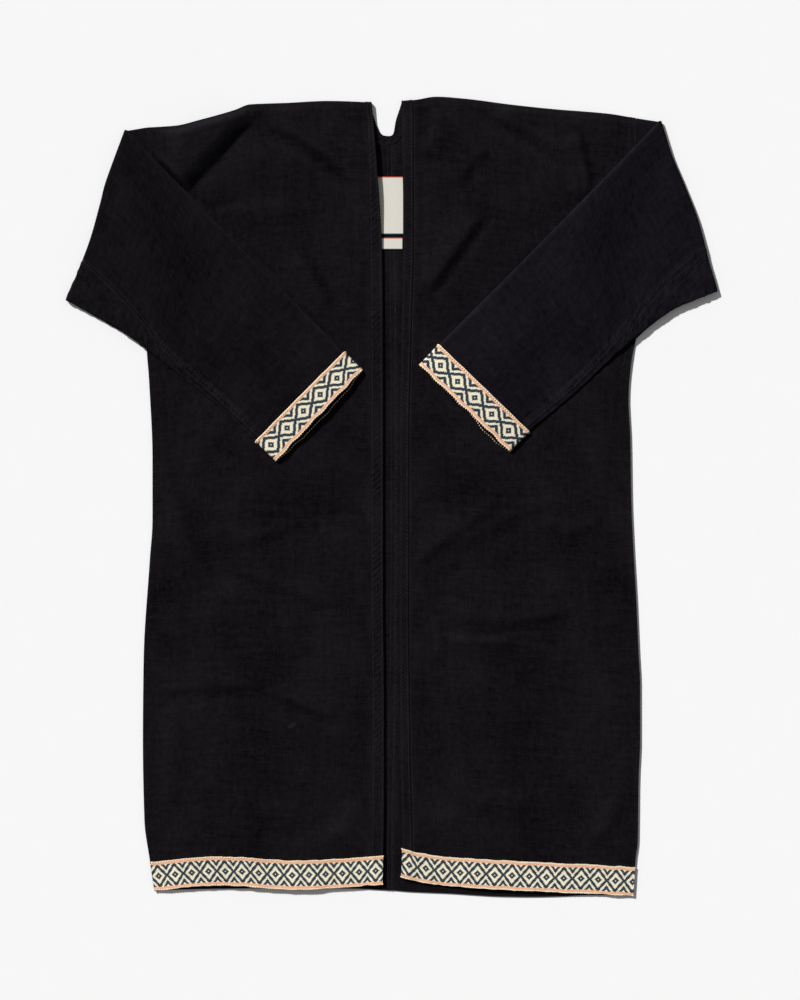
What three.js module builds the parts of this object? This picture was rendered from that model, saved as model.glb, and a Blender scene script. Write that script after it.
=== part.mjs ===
import * as THREE from 'three';

// A long open coat of straight-cut cloth, laid on its back with both sleeves folded over
// its fronts. Millimetres, +X to the wearer's left, +Y up the back to the collar, +Z up.
// In the tables "out" is the distance from the centre line and "y" runs from mid length.

const CLOTH = 1.2;
const BAND_WALL = 2;
const RIBBON_WALL = 1;
const LABEL_WALL = 1;
const GAP = 0.3;
const RIBBON_WIDTH = 37.5;
const BACK_BAND_WIDTH = 10.5;

const LOFT = 1.6;
const HEM_LOFT = 0.9;
const SIDE_ROLL = 45;
const MOST_LIFT = 8;
const SHOULDER_FADE = 22;
const SLEEVE_CLEAR = 8;
const SLEEVE_FADE = 24;
const HEM_FADE = 120;
const EDGE_FADE = 14;
// A fold fades in and out over one part in this many of its length.
const FOLD_ENDS = 4;

const ARMHOLE_OUT = 318;
const FOLD_RADIUS = 2.5;
const SLEEVE_BULGE = 1.3;
const ARCH_POWER = 0.8;
const LEAST_SEAM = 2;

// What changes toward the cuff: how much, from which ring on, and over how many rings.
const CUFF_RISE = { most: 1.1, from: 3, over: 2 };
const CUFF_BULGE = { most: 3.5, from: 3.8, over: 1.6 };
const CUFF_LAP = { most: 5, from: 4.2, over: 1.3 };
const BULGE_RINGS = 1.2;
const CREASE_RINGS = 0.5;

const MAIN_LABEL = { x: 0, y: 384.5, width: 50, height: 75 };
const SIZE_LABEL = { x: 0.5, y: 335, width: 27, height: 15.5 };

const BODY_COLUMNS = 15;
const FRONT_ROWS = 40;
const BACK_ROWS = 10;
const RIBBON_ROWS = 2;
const TURN_STEPS = 6;
const LOWER_SLEEVE_STEPS = 4;
const RING_STEPS = 3;
const FLAT_COLUMNS = 7;
const BAND_STEPS = 2;

// The rows of a front are closer together at the top by this share.
const ROW_CROWDING = 0.25;
// The share of the way up a side that is level with the middle of the back neck.
const NECK_SHARE = 0.9;
const MID_LENGTH = 0;

// Each row of "folds" is one long soft ridge in the cloth: its two ends, its bow to the left
// of the way from first to last, its height, and how far it spreads to the left and to the
// right of that way. "foldBow" is how far the sleeve's folded edge runs outside a straight
// line, at shares of the way up it.
const RIGHT = {
  name: 'right',
  sign: -1,
  outline: [
    { y: -506, out: 308 },
    { y: -466, out: 314 },
    { y: -414, out: 321 },
    { y: -310, out: 323 },
    { y: -206, out: 322 },
    { y: -76, out: 314 },
    { y: -24, out: 310.5 },
    { y: 54, out: 310.5 },
    { y: 158, out: 315 },
    { y: 203, out: ARMHOLE_OUT },
    { y: 520, out: ARMHOLE_OUT },
  ],
  shoulder: [
    { out: 12, y: 518 },
    { out: 82, y: 520.5 },
    { out: 135, y: 518 },
    { out: 184, y: 516 },
    { out: 203, y: 509 },
    { out: 249, y: 496 },
    { out: 280, y: 488.5 },
    { out: 318, y: 486 },
  ],
  band: [
    { y: -505, edge: 11.7, seam: 27.3 },
    { y: -388, edge: 9.8, seam: 25.5 },
    { y: -258, edge: 9.8, seam: 25.2 },
    { y: -128, edge: 11, seam: 26.5 },
    { y: 132, edge: 11, seam: 26.6 },
    { y: 327, edge: 12.4, seam: 27.8 },
    { y: 392, edge: 15.5, seam: 28.6 },
    { y: 430, edge: 18.5, seam: 29.4 },
    { y: 462, edge: 21, seam: 30 },
    { y: 519, edge: 25.5, seam: 33.5 },
  ],
  frontHem: [
    { out: 12, y: -497.3 },
    { out: 125, y: -503.8 },
    { out: 225, y: -498 },
    { out: 308, y: -505.7 },
  ],
  backHem: [
    { out: 0, y: -505.4 },
    { out: 20, y: -504.4 },
    { out: 45, y: -503.2 },
    { out: 120, y: -502.6 },
    { out: 223, y: -503.2 },
    { out: 308, y: -505.2 },
  ],
  neckCorner: { out: 28, seam: 35 },
  foldLine: { top: { out: 346.5, y: 483 }, low: { out: 423.5, y: 261.2 } },
  foldBow: [
    { share: 0, out: 0 },
    { share: 0.34, out: -4.2 },
    { share: 0.56, out: -1.4 },
    { share: 0.7, out: 1.2 },
    { share: 1, out: 0 },
  ],
  rings: [
    { topOut: 300, topY: 435.6, lowOut: 364.7, lowY: 231.3, seam: 38 },
    { topOut: 262, topY: 396.9, lowOut: 318.2, lowY: 198.3, seam: 22 },
    { topOut: 228, topY: 362.3, lowOut: 292, lowY: 178.3, seam: 2.4 },
    { topOut: 150, topY: 282.8, lowOut: 235.3, lowY: 133.5, seam: 0 },
    { topOut: 62.3, topY: 193.4, lowOut: 175.8, lowY: 79.3, seam: 0 },
    { topOut: 39, topY: 169.7, lowOut: 149.2, lowY: 54, seam: 0 },
  ],
  underarmY: 203,
  underarmBow: 0,
  armholeSeam: 116,
  foldSeam: 56,
  folds: [
    { out1: 160, y1: 516, out2: 244, y2: 400, bow: 0, height: 5.4, left: 24, right: 10 },
    { out1: 188, y1: 516, out2: 276, y2: 412, bow: 0, height: 2.8, left: 10, right: 26 },
    { out1: 158, y1: 500, out2: 30, y2: 404, bow: 7, height: 3, left: 16, right: 20 },
    { out1: 166, y1: 452, out2: 232, y2: 396, bow: 0, height: 1.6, left: 16, right: 14 },
    { out1: 296, y1: 96, out2: 222, y2: -150, bow: 4, height: 2.2, left: 26, right: 20 },
    { out1: 196, y1: -74, out2: 50, y2: -130, bow: -10, height: 2.2, left: 16, right: 20 },
    { out1: 290, y1: -232, out2: 56, y2: -274, bow: 17, height: 3.8, left: 14, right: 24 },
    { out1: 296, y1: -262, out2: 300, y2: -412, bow: -10, height: 2, left: 14, right: 20 },
    { out1: 126, y1: -210, out2: 44, y2: -234, bow: 0, height: 1.8, left: 10, right: 12 },
    { out1: 30, y1: -378, out2: 106, y2: -450, bow: -8, height: 2, left: 14, right: 16 },
    { out1: 260, y1: -398, out2: 170, y2: -438, bow: 0, height: 1.8, left: 18, right: 16 },
  ],
  sleeveFolds: [
    { out1: 262, y1: 300, out2: 330, y2: 262, bow: 0, height: 1.8, left: 18, right: 14 },
    { out1: 190, y1: 122, out2: 120, y2: 150, bow: 0, height: 1.4, left: 12, right: 12 },
  ],
};

const LEFT = {
  name: 'left',
  sign: 1,
  outline: [
    { y: -513, out: 314 },
    { y: -466, out: 317 },
    { y: -440, out: 320 },
    { y: -362, out: 321 },
    { y: -310, out: 323 },
    { y: -240, out: 323 },
    { y: -193, out: 320.8 },
    { y: -128, out: 318 },
    { y: -63, out: 314.3 },
    { y: 2, out: 311.5 },
    { y: 80, out: 310.3 },
    { y: 132, out: 308 },
    { y: 203, out: 315 },
    { y: 212, out: ARMHOLE_OUT },
    { y: 520, out: ARMHOLE_OUT },
  ],
  shoulder: [
    { out: 12, y: 520 },
    { out: 32, y: 522 },
    { out: 58, y: 526 },
    { out: 94, y: 523.5 },
    { out: 157, y: 515.5 },
    { out: 209, y: 510 },
    { out: 281, y: 504 },
    { out: 318, y: 498 },
  ],
  band: [
    { y: -488, edge: 12.4, seam: 25.4 },
    { y: -453, edge: 13.7, seam: 26.7 },
    { y: -323, edge: 11.7, seam: 24 },
    { y: -128, edge: 10.4, seam: 22.1 },
    { y: 80, edge: 11, seam: 22.3 },
    { y: 223, edge: 13, seam: 25.4 },
    { y: 327, edge: 15, seam: 28 },
    { y: 392, edge: 15, seam: 28.3 },
    { y: 457, edge: 13.7, seam: 28 },
    { y: 521, edge: 13, seam: 27.5 },
  ],
  frontHem: [
    { out: 12, y: -487.6 },
    { out: 38, y: -494 },
    { out: 77, y: -499.2 },
    { out: 171, y: -505 },
    { out: 271, y: -509.7 },
    { out: 314, y: -512.5 },
  ],
  backHem: [
    { out: 0, y: -505.4 },
    { out: 24, y: -507.4 },
    { out: 76, y: -509.6 },
    { out: 102, y: -511.3 },
    { out: 141, y: -513.4 },
    { out: 180, y: -513.9 },
    { out: 219, y: -513.2 },
    { out: 258, y: -511.5 },
    { out: 314, y: -511.5 },
  ],
  neckCorner: { out: 13, seam: 26 },
  foldLine: { top: { out: 350.4, y: 494.7 }, low: { out: 424, y: 272.8 } },
  foldBow: [
    { share: 0, out: 0 },
    { share: 0.16, out: 1.5 },
    { share: 0.42, out: 5 },
    { share: 0.64, out: 2.2 },
    { share: 0.82, out: -0.8 },
    { share: 1, out: 0 },
  ],
  rings: [
    { topOut: 300, topY: 443.4, lowOut: 367, lowY: 250, seam: 41 },
    { topOut: 262, topY: 404.7, lowOut: 318, lowY: 215, seam: 24 },
    { topOut: 228, topY: 370.1, lowOut: 292, lowY: 193, seam: 2.4 },
    { topOut: 150, topY: 290.8, lowOut: 238, lowY: 142, seam: 0 },
    { topOut: 62.5, topY: 203, lowOut: 178, lowY: 91.7, seam: 0 },
    { topOut: 37.6, topY: 176.4, lowOut: 152.5, lowY: 66.4, seam: 0 },
  ],
  underarmY: 212,
  underarmBow: 9.5,
  armholeSeam: 107,
  foldSeam: 61,
  folds: [
    { out1: 62, y1: 512, out2: 36, y2: 430, bow: 10, height: 2.2, left: 20, right: 8 },
    { out1: 112, y1: 510, out2: 262, y2: 396, bow: -16, height: 4, left: 22, right: 14 },
    { out1: 144, y1: 398, out2: 38, y2: 204, bow: -12, height: 5.4, left: 24, right: 13 },
    { out1: 240, y1: 484, out2: 250, y2: 404, bow: 0, height: 2.2, left: 9, right: 18 },
    { out1: 138, y1: 352, out2: 192, y2: 374, bow: 0, height: 1.6, left: 12, right: 12 },
    { out1: 204, y1: 28, out2: 78, y2: -68, bow: -18, height: 2.4, left: 16, right: 18 },
    { out1: 212, y1: -44, out2: 272, y2: -22, bow: 0, height: 1.6, left: 12, right: 16 },
    { out1: 48, y1: -158, out2: 234, y2: -156, bow: -17, height: 4.2, left: 22, right: 14 },
    { out1: 55, y1: -196, out2: 122, y2: -194, bow: 0, height: 2, left: 12, right: 12 },
    { out1: 316, y1: -352, out2: 246, y2: -456, bow: 5, height: 2, left: 16, right: 14 },
    { out1: 72, y1: -352, out2: 130, y2: -398, bow: 0, height: 1.8, left: 14, right: 16 },
  ],
  sleeveFolds: [
    { out1: 190, y1: 186, out2: 170, y2: 124, bow: 0, height: 1.6, left: 12, right: 16 },
    { out1: 300, y1: 330, out2: 360, y2: 300, bow: 0, height: 1.2, left: 20, right: 16 },
  ],
};

// The free edge of the band round the back neck, from the right shoulder to the left.
const BACK_NECK = [
  { x: -25.6, y: 508.6 },
  { x: -18.9, y: 487.4 },
  { x: -15, y: 479.5 },
  { x: -9.5, y: 475.4 },
  { x: -3, y: 474.8 },
  { x: 1, y: 476.2 },
  { x: 3, y: 480 },
  { x: 5.4, y: 494 },
  { x: 10.6, y: 510 },
];

// The centre back seam, from the hem up to the neck.
const CENTRE_SEAM = [
  { y: -513, x: 1.7 },
  { y: -470, x: 1.7 },
  { y: -300, x: 4 },
  { y: 0, x: 6.2 },
  { y: 200, x: 5.6 },
  { y: 300, x: 4.5 },
  { y: 392, x: 2 },
  { y: 420, x: 1.4 },
  { y: 476, x: 1.4 },
];

const COTTON = new THREE.MeshStandardMaterial({ color: 0x151316, roughness: 0.92, metalness: 0 });
const RIBBON = new THREE.MeshStandardMaterial({ color: 0xb3a58c, roughness: 0.85, metalness: 0 });
const LABEL = new THREE.MeshStandardMaterial({ color: 0xddd9d1, roughness: 0.8, metalness: 0 });

// ---- Small helpers --------------------------------------------------------------------

const mix = (a, b, t) => a + (b - a) * t;

function smooth(t) {
  const held = Math.min(Math.max(t, 0), 1);
  return held * held * (3 - 2 * held);
}

const hump = (t) => 4 * t * (1 - t);
const towardCuff = ({ from, over }, at) => smooth((at - from) / over);

const steps = (count) => Array.from({ length: count + 1 }, (_, i) => i / count);

// A smooth curve through a table's rows that never overshoots them, between two columns.
function curve(rows, from, to) {
  const at = rows.map((row) => row[from]);
  const value = rows.map((row) => row[to]);
  const rise = at.slice(1).map((a, i) => (value[i + 1] - value[i]) / (a - at[i]));
  const slope = at.map((_, i) => {
    const before = rise[Math.max(i - 1, 0)];
    const after = rise[Math.min(i, rise.length - 1)];
    return before * after > 0 ? (2 * before * after) / (before + after) : 0;
  });
  return (x) => {
    const held = Math.min(Math.max(x, at[0]), at[at.length - 1]);
    const i = Math.max(at.findIndex((a) => a >= held) - 1, 0);
    const span = at[i + 1] - at[i];
    const t = (held - at[i]) / span;
    const start = (1 + 2 * t) * (1 - t) ** 2 * value[i] + t * (1 - t) ** 2 * span * slope[i];
    const end = t * t * (3 - 2 * t) * value[i + 1] - t * t * (1 - t) * span * slope[i + 1];
    return start + end;
  };
}

// The height that a list of soft folds adds at one place.
function foldHeight(folds, out, y) {
  let height = 0;
  for (const fold of folds) {
    const alongOut = fold.out2 - fold.out1;
    const alongY = fold.y2 - fold.y1;
    const length = Math.hypot(alongOut, alongY);
    const t = ((out - fold.out1) * alongOut + (y - fold.y1) * alongY) / length ** 2;
    if (t <= 0 || t >= 1) {
      continue;
    }
    const across = ((y - fold.y1) * alongOut - (out - fold.out1) * alongY) / length;
    const off = across - fold.bow * hump(t);
    const spread = off > 0 ? fold.left : fold.right;
    const faded = fold.height * smooth(t * FOLD_ENDS) * smooth((1 - t) * FOLD_ENDS);
    height += faded * Math.exp(-((off / spread) ** 2));
  }
  return height;
}

// ---- Walls ----------------------------------------------------------------------------

// The directions square to a grid of points. From row "closed" on, each row is a loop
// whose first and last points are one.
function gridNormals(grid, closed) {
  return grid.map((row, i) => row.map((_, j) => {
    const last = row.length - 1;
    const looped = i >= closed && (j === 0 || j === last);
    const before = looped ? last - 1 : Math.max(j - 1, 0);
    const after = looped ? 1 : Math.min(j + 1, last);
    const across = row[after].clone().sub(row[before]);
    const next = grid[Math.min(i + 1, grid.length - 1)][j];
    const along = next.clone().sub(grid[Math.max(i - 1, 0)][j]);
    return along.cross(across).normalize();
  }));
}

function movedGrid(grid, distance, closed) {
  const normals = gridNormals(grid, closed);
  const moved = (point, i, j) => point.clone().addScaledVector(normals[i][j], distance);
  return grid.map((row, i) => row.map((point, j) => moved(point, i, j)));
}

// A closed wall about a grid of middle points, half its thickness to each side.
function wall(grid, thickness, closed = Infinity) {
  const rows = grid.length;
  const columns = grid[0].length;
  const upper = movedGrid(grid, thickness / 2, closed);
  const under = movedGrid(grid, -thickness / 2, closed);
  const index = [];
  const quad = (a, b, c, d) => index.push(a, b, c, a, c, d);
  const top = (i, j) => i * columns + j;
  const low = (i, j) => (rows + i) * columns + j;
  const last = columns - 1;
  for (let i = 0; i < rows - 1; i += 1) {
    for (let j = 0; j < last; j += 1) {
      quad(top(i, j), top(i + 1, j), top(i + 1, j + 1), top(i, j + 1));
      quad(low(i, j), low(i, j + 1), low(i + 1, j + 1), low(i + 1, j));
    }
    if (i < closed) {
      quad(top(i, 0), low(i, 0), low(i + 1, 0), top(i + 1, 0));
      quad(top(i + 1, last), low(i + 1, last), low(i, last), top(i, last));
    }
  }
  for (let j = 0; j < last; j += 1) {
    quad(top(0, j + 1), low(0, j + 1), low(0, j), top(0, j));
    quad(top(rows - 1, j), low(rows - 1, j), low(rows - 1, j + 1), top(rows - 1, j + 1));
  }
  const geometry = new THREE.BufferGeometry().setFromPoints([...upper.flat(), ...under.flat()]);
  geometry.setIndex(index);
  return geometry;
}

// Six times the volume that a closed geometry encloses, below zero when it is inside out.
function signedVolume(geometry) {
  const position = geometry.getAttribute('position');
  const corner = (k) => new THREE.Vector3().fromBufferAttribute(position, geometry.index.array[k]);
  let volume = 0;
  for (let k = 0; k < geometry.index.count; k += 3) {
    volume += corner(k).dot(corner(k + 1).cross(corner(k + 2)));
  }
  return volume;
}

function piece(name, geometry, material) {
  if (signedVolume(geometry) < 0) {
    geometry.index.array.reverse();
  }
  geometry.computeVertexNormals();
  const mesh = new THREE.Mesh(geometry, material);
  mesh.name = name;
  return mesh;
}

// ---- The front's height, and the turn of the cloth over the shoulder ------------------

for (const side of [RIGHT, LEFT]) {
  side.outlineAt = curve(side.outline, 'y', 'out');
  side.shoulderAt = curve(side.shoulder, 'out', 'y');
  side.edgeAt = curve(side.band, 'y', 'edge');
  side.seamAt = curve(side.band, 'y', 'seam');
  side.frontHemAt = curve(side.frontHem, 'out', 'y');
  side.backHemAt = curve(side.backHem, 'out', 'y');
  side.foldBowAt = curve(side.foldBow, 'share', 'out');
  side.place = (out, y, z) => new THREE.Vector3(side.sign * out, y, z);
}

// How far a place lies outside the folded sleeve, below zero under it.
function outsideSleeve(side, out, y) {
  const cuff = side.rings[side.rings.length - 1];
  const gussetEnd = side.rings[2];
  const corners = [
    side.foldLine.top,
    { out: cuff.topOut, y: cuff.topY },
    { out: cuff.lowOut, y: cuff.lowY },
    { out: gussetEnd.lowOut, y: gussetEnd.lowY },
    side.foldLine.low,
  ];
  let furthest = -Infinity;
  for (let i = 0; i < corners.length - 1; i += 1) {
    const from = corners[i];
    const alongOut = corners[i + 1].out - from.out;
    const alongY = corners[i + 1].y - from.y;
    const beyond = alongY * (out - from.out) - alongOut * (y - from.y);
    furthest = Math.max(furthest, beyond / Math.hypot(alongOut, alongY));
  }
  return furthest;
}

// How far the front stands above the lowest that it can lie, close on the back.
function frontLift(side, out, y) {
  const rolled = smooth((side.outlineAt(y) - out) / SIDE_ROLL);
  const loft = mix(HEM_LOFT, LOFT, smooth((y - side.frontHemAt(out)) / HEM_FADE));
  const free = smooth((side.shoulderAt(out) - y) / SHOULDER_FADE)
    * smooth((outsideSleeve(side, out, y) - SLEEVE_CLEAR) / SLEEVE_FADE)
    * smooth((out - side.seamAt(y)) / EDGE_FADE);
  return Math.min(rolled * (loft + free * foldHeight(side.folds, out, y)), MOST_LIFT);
}

const frontUnderside = (side, out, y) => CLOTH + GAP + frontLift(side, out, y);

const turnRadius = (out) => (CLOTH + GAP + LOFT * smooth((ARMHOLE_OUT - out) / SIDE_ROLL)) / 2;

// Where the cloth starts to turn over the shoulder, seen from above.
const turnStart = (side, out) => side.shoulderAt(out) - CLOTH / 2 - turnRadius(out);

function turnPoint(side, out, angle, thickness) {
  const radius = turnRadius(out);
  const y = turnStart(side, out) + radius * Math.cos(angle);
  return side.place(out, y, thickness / 2 + radius * (1 + Math.sin(angle)));
}

const TURN_ANGLES = steps(TURN_STEPS).map((t) => mix(-Math.PI / 2, Math.PI / 2, t));

// The front's rows run from the shoulder to the ribbon, closer together at the top, and
// then across the ribbon to the hem.
const FRONT_DOWN = steps(FRONT_ROWS).map((t) => mix(t, t * t, ROW_CROWDING));
const ROW_COUNT = FRONT_ROWS + RIBBON_ROWS + 1;

function frontRowY(side, out, row) {
  const ribbonTop = side.frontHemAt(out) + RIBBON_WIDTH;
  if (row > FRONT_ROWS) {
    return ribbonTop - (RIBBON_WIDTH * (row - FRONT_ROWS)) / RIBBON_ROWS;
  }
  return mix(turnStart(side, out), ribbonTop, FRONT_DOWN[row]);
}

// The band's two edges on a row of the front: its free edge and its seam.
function bandAt(side, row) {
  const y = frontRowY(side, side.edgeAt(MID_LENGTH), row);
  return { edge: side.edgeAt(y), seam: side.seamAt(y) };
}

// ---- The two body lengths, from the back hem over the shoulder to the front hem -------

const centreSeamAt = curve(CENTRE_SEAM, 'y', 'x');

// The back neck edge moved out into the cloth.
function backNeckMoved(distance) {
  return BACK_NECK.map((row, i) => {
    const before = BACK_NECK[Math.max(i - 1, 0)];
    const after = BACK_NECK[Math.min(i + 1, BACK_NECK.length - 1)];
    const length = Math.hypot(after.x - before.x, after.y - before.y);
    const x = row.x + ((after.y - before.y) / length) * distance;
    return { x, y: row.y - ((after.x - before.x) / length) * distance };
  });
}

// The inner edge of a back, up its centre seam and then round the neck, with the share of
// the way up the side that each of its points is level with.
function backInnerEdge(side) {
  const moved = backNeckMoved(BACK_BAND_WIDTH + GAP);
  const seamTop = CENTRE_SEAM[CENTRE_SEAM.length - 1].x;
  const crossing = moved.findIndex((point) => point.x > seamTop);
  const { [crossing - 1]: before, [crossing]: after } = moved;
  const centreY = mix(before.y, after.y, (seamTop - before.x) / (after.x - before.x));
  const round = side.sign < 0 ? moved.slice(0, crossing).reverse() : moved.slice(crossing);
  const up = steps(BACK_ROWS).map((t) => {
    const y = mix(side.backHemAt(0), centreY, t);
    return { out: GAP / 2 + side.sign * centreSeamAt(y), y, share: NECK_SHARE * t };
  });
  const neck = round.map((point, i) => ({
    out: side.sign * point.x,
    y: point.y,
    share: mix(NECK_SHARE, 1, (i + 1) / (round.length + 1)),
  }));
  return [...up, ...neck];
}

function bodyGrid(side) {
  const spread = steps(BODY_COLUMNS);
  const cornerSeam = side.neckCorner.seam + GAP;
  const back = backInnerEdge(side).map((inner) => {
    const low = side.backHemAt(ARMHOLE_OUT);
    const outerY = mix(low, turnStart(side, ARMHOLE_OUT), inner.share);
    const outer = side.outlineAt(outerY);
    const bulge = (line, out, s) => line(out) - mix(line(inner.out), line(outer), s);
    return spread.map((s) => {
      const out = mix(inner.out, outer, s);
      const hem = bulge(side.backHemAt, out, s);
      const top = bulge((x) => turnStart(side, x), out, s);
      return side.place(out, mix(inner.y, outerY, s) + mix(hem, top, inner.share), CLOTH / 2);
    });
  });
  const turn = TURN_ANGLES.map((angle, i) => {
    const inner = mix(cornerSeam, bandAt(side, 0).seam + GAP, i / TURN_STEPS);
    return spread.map((s) => turnPoint(side, mix(inner, ARMHOLE_OUT, s), angle, CLOTH));
  });
  const front = Array.from({ length: ROW_COUNT - 1 }, (_, i) => {
    const row = i + 1;
    const inner = bandAt(side, row).seam + GAP;
    const outer = side.outlineAt(frontRowY(side, ARMHOLE_OUT, row));
    return spread.map((s) => {
      const out = mix(inner, outer, s);
      const y = frontRowY(side, out, row);
      return side.place(out, y, frontUnderside(side, out, y) + CLOTH / 2);
    });
  });
  return [...back, ...turn, ...front];
}

// ---- The band up the fronts and round the back neck -----------------------------------

const BAND_COLUMNS = steps(BAND_STEPS);

function frontBandRow(side, row, height) {
  const { edge, seam } = bandAt(side, row);
  return BAND_COLUMNS.map((s) => {
    const out = mix(edge, seam, s);
    const y = frontRowY(side, out, row);
    return side.place(out, y, frontUnderside(side, out, y) + height);
  });
}

// The band of one side from its front hem up and over the shoulder.
function sideBandGrid(side) {
  const front = [];
  for (let row = ROW_COUNT - 1; row > 0; row -= 1) {
    front.push(frontBandRow(side, row, BAND_WALL / 2));
  }
  const { edge, seam } = bandAt(side, 0);
  const turn = TURN_ANGLES.map((angle, i) => {
    const t = i / TURN_STEPS;
    const from = mix(side.neckCorner.out, edge, t);
    const to = mix(side.neckCorner.seam, seam, t);
    return BAND_COLUMNS.map((s) => turnPoint(side, mix(from, to, s), angle, BAND_WALL));
  });
  return [...front, ...turn.reverse()];
}

function bandGrid() {
  const seam = backNeckMoved(BACK_BAND_WIDTH);
  const neck = BACK_NECK.map((edge, i) => BAND_COLUMNS.map((s) => {
    const x = mix(edge.x, seam[i].x, s);
    return new THREE.Vector3(x, mix(edge.y, seam[i].y, s), BAND_WALL / 2);
  }));
  return [...sideBandGrid(RIGHT), ...neck, ...sideBandGrid(LEFT).reverse()];
}

// ---- The ribbon on a front hem, on the points of the band and the front ---------------

function hemRibbonGrid(side) {
  const onCloth = GAP + RIBBON_WALL / 2;
  const rows = [];
  for (let row = FRONT_ROWS; row < ROW_COUNT; row += 1) {
    const inner = bandAt(side, row).seam + GAP;
    const outer = side.outlineAt(frontRowY(side, ARMHOLE_OUT, row));
    const onFront = steps(BODY_COLUMNS).map((s, j) => {
      const out = mix(inner, outer, s);
      const y = frontRowY(side, out, row);
      const cloth = j === 0 ? BAND_WALL : CLOTH;
      return side.place(out, y, frontUnderside(side, out, y) + cloth + onCloth);
    });
    rows.push([...frontBandRow(side, row, BAND_WALL + onCloth), ...onFront]);
  }
  return rows;
}

// ---- The sleeves ----------------------------------------------------------------------

const LAYER_HALF = (CLOTH + GAP) / 2;
const LOWER_LEVEL = LAYER_HALF + CLOTH / 2;
const UPPER_LEVEL = LOWER_LEVEL + 2 * FOLD_RADIUS;

// A ring of the flattened sleeve: its two edges, the way its back face looks, how far its
// seam or gusset reaches from the lower edge, how much of the fold's bow it has, the way
// out over the fold, and the ring's place along the table.
function sleeveRings(side) {
  const { top, low } = side.foldLine;
  const length = Math.hypot(low.out - top.out, low.y - top.y);
  const alongOut = (low.out - top.out) / length;
  const alongY = (low.y - top.y) / length;
  const inset = LOWER_LEVEL + FOLD_RADIUS;
  const half = CLOTH / 2;
  const foldTop = {
    out: top.out + alongY * inset + alongOut * half,
    y: top.y - alongOut * inset + alongY * half,
  };
  const foldLow = {
    out: low.out + alongY * inset - alongOut * half,
    y: low.y - alongOut * inset - alongY * half,
  };
  const outward = side.place(-alongY, alongOut, 0);
  const armhole = ARMHOLE_OUT + GAP;
  const rings = steps(LOWER_SLEEVE_STEPS).map((t) => {
    const topY = mix(side.shoulderAt(armhole) - half, foldTop.y, t);
    const lowY = mix(side.underarmY + half, foldLow.y, t) + side.underarmBow * hump(t);
    return {
      top: side.place(mix(armhole, foldTop.out, t), topY, LOWER_LEVEL),
      low: side.place(mix(armhole, foldLow.out, t), lowY, LOWER_LEVEL),
      face: new THREE.Vector3(0, 0, -1),
      seam: mix(side.armholeSeam, side.foldSeam, t),
      bowed: t,
      outward,
      at: 0,
    };
  });
  TURN_ANGLES.slice(1).forEach((angle) => {
    const reach = FOLD_RADIUS * Math.cos(angle);
    const z = LOWER_LEVEL + FOLD_RADIUS * (1 + Math.sin(angle));
    rings.push({
      top: side.place(foldTop.out - alongY * reach, foldTop.y + alongOut * reach, z),
      low: side.place(foldLow.out - alongY * reach, foldLow.y + alongOut * reach, z),
      face: side.place(-alongY * Math.cos(angle), alongOut * Math.cos(angle), Math.sin(angle)),
      seam: side.foldSeam,
      bowed: 1,
      outward,
      at: 0,
    });
  });
  const first = {
    topOut: foldTop.out,
    topY: foldTop.y,
    lowOut: foldLow.out,
    lowY: foldLow.y,
    seam: side.foldSeam,
  };
  const table = [first, ...side.rings].map((row, at) => ({ ...row, at }));
  const column = (name) => curve(table, 'at', name);
  const [topOut, topY, lowOut, lowY, seam] = Object.keys(first).map(column);
  const upperRing = (at) => {
    const z = UPPER_LEVEL + CUFF_RISE.most * towardCuff(CUFF_RISE, at);
    return {
      top: side.place(topOut(at), topY(at), z),
      low: side.place(lowOut(at), lowY(at), z),
      face: new THREE.Vector3(0, 0, 1),
      seam: seam(at) < LEAST_SEAM ? 0 : seam(at),
      bowed: 1 - smooth(at),
      outward,
      at,
    };
  };
  const lastRing = table.length - 1;
  for (let i = 1; i <= lastRing * RING_STEPS; i += 1) {
    rings.push(upperRing(i / RING_STEPS));
  }
  return rings;
}

// A point of a ring, at a distance up from its lower edge, on its back or front face.
function ringPoint(side, ring, distance, onBack) {
  const width = ring.top.distanceTo(ring.low);
  const share = distance / width;
  const point = ring.low.clone().lerp(ring.top, share);
  point.addScaledVector(ring.outward, ring.bowed * side.foldBowAt(share));
  const arch = Math.sin(Math.PI * Math.min(Math.max(share, 0), 1));
  const fromEdge = Math.min(distance, width - distance) / LAYER_HALF;
  const round = fromEdge < 1 ? Math.sqrt(1 - (1 - fromEdge) ** 2) : 1;
  if (!onBack) {
    const lap = CUFF_LAP.most * towardCuff(CUFF_LAP, ring.at) * arch;
    const across = ring.top.clone().sub(ring.low).setZ(0).normalize();
    point.x -= side.sign * Math.abs(across.y) * lap;
    point.y -= Math.abs(across.x) * lap;
    return point.addScaledVector(ring.face, -LAYER_HALF * round);
  }
  const fullest = mix(SLEEVE_BULGE, CUFF_BULGE.most, towardCuff(CUFF_BULGE, ring.at));
  const bulge = fullest * smooth(ring.at / BULGE_RINGS);
  const creases = foldHeight(side.sleeveFolds, side.sign * point.x, point.y);
  const raised = bulge + creases * smooth(ring.at / CREASE_RINGS);
  return point.addScaledVector(ring.face, LAYER_HALF * round + raised * arch ** ARCH_POWER);
}

const ROUND_STEP = LAYER_HALF * (1 - Math.SQRT1_2);

function sleeveGrid(side, rings) {
  return rings.map((ring) => {
    const width = ring.top.distanceTo(ring.low);
    const start = ring.seam;
    const flat = steps(FLAT_COLUMNS).map((t) => mix(start + LAYER_HALF, width - LAYER_HALF, t));
    const up = [start, start + ROUND_STEP, ...flat, width - ROUND_STEP, width];
    const back = up.map((distance) => ringPoint(side, ring, distance, true));
    const front = up.slice(0, -1).reverse().map((distance) => ringPoint(side, ring, distance, false));
    return [...back, ...front];
  });
}

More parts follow.
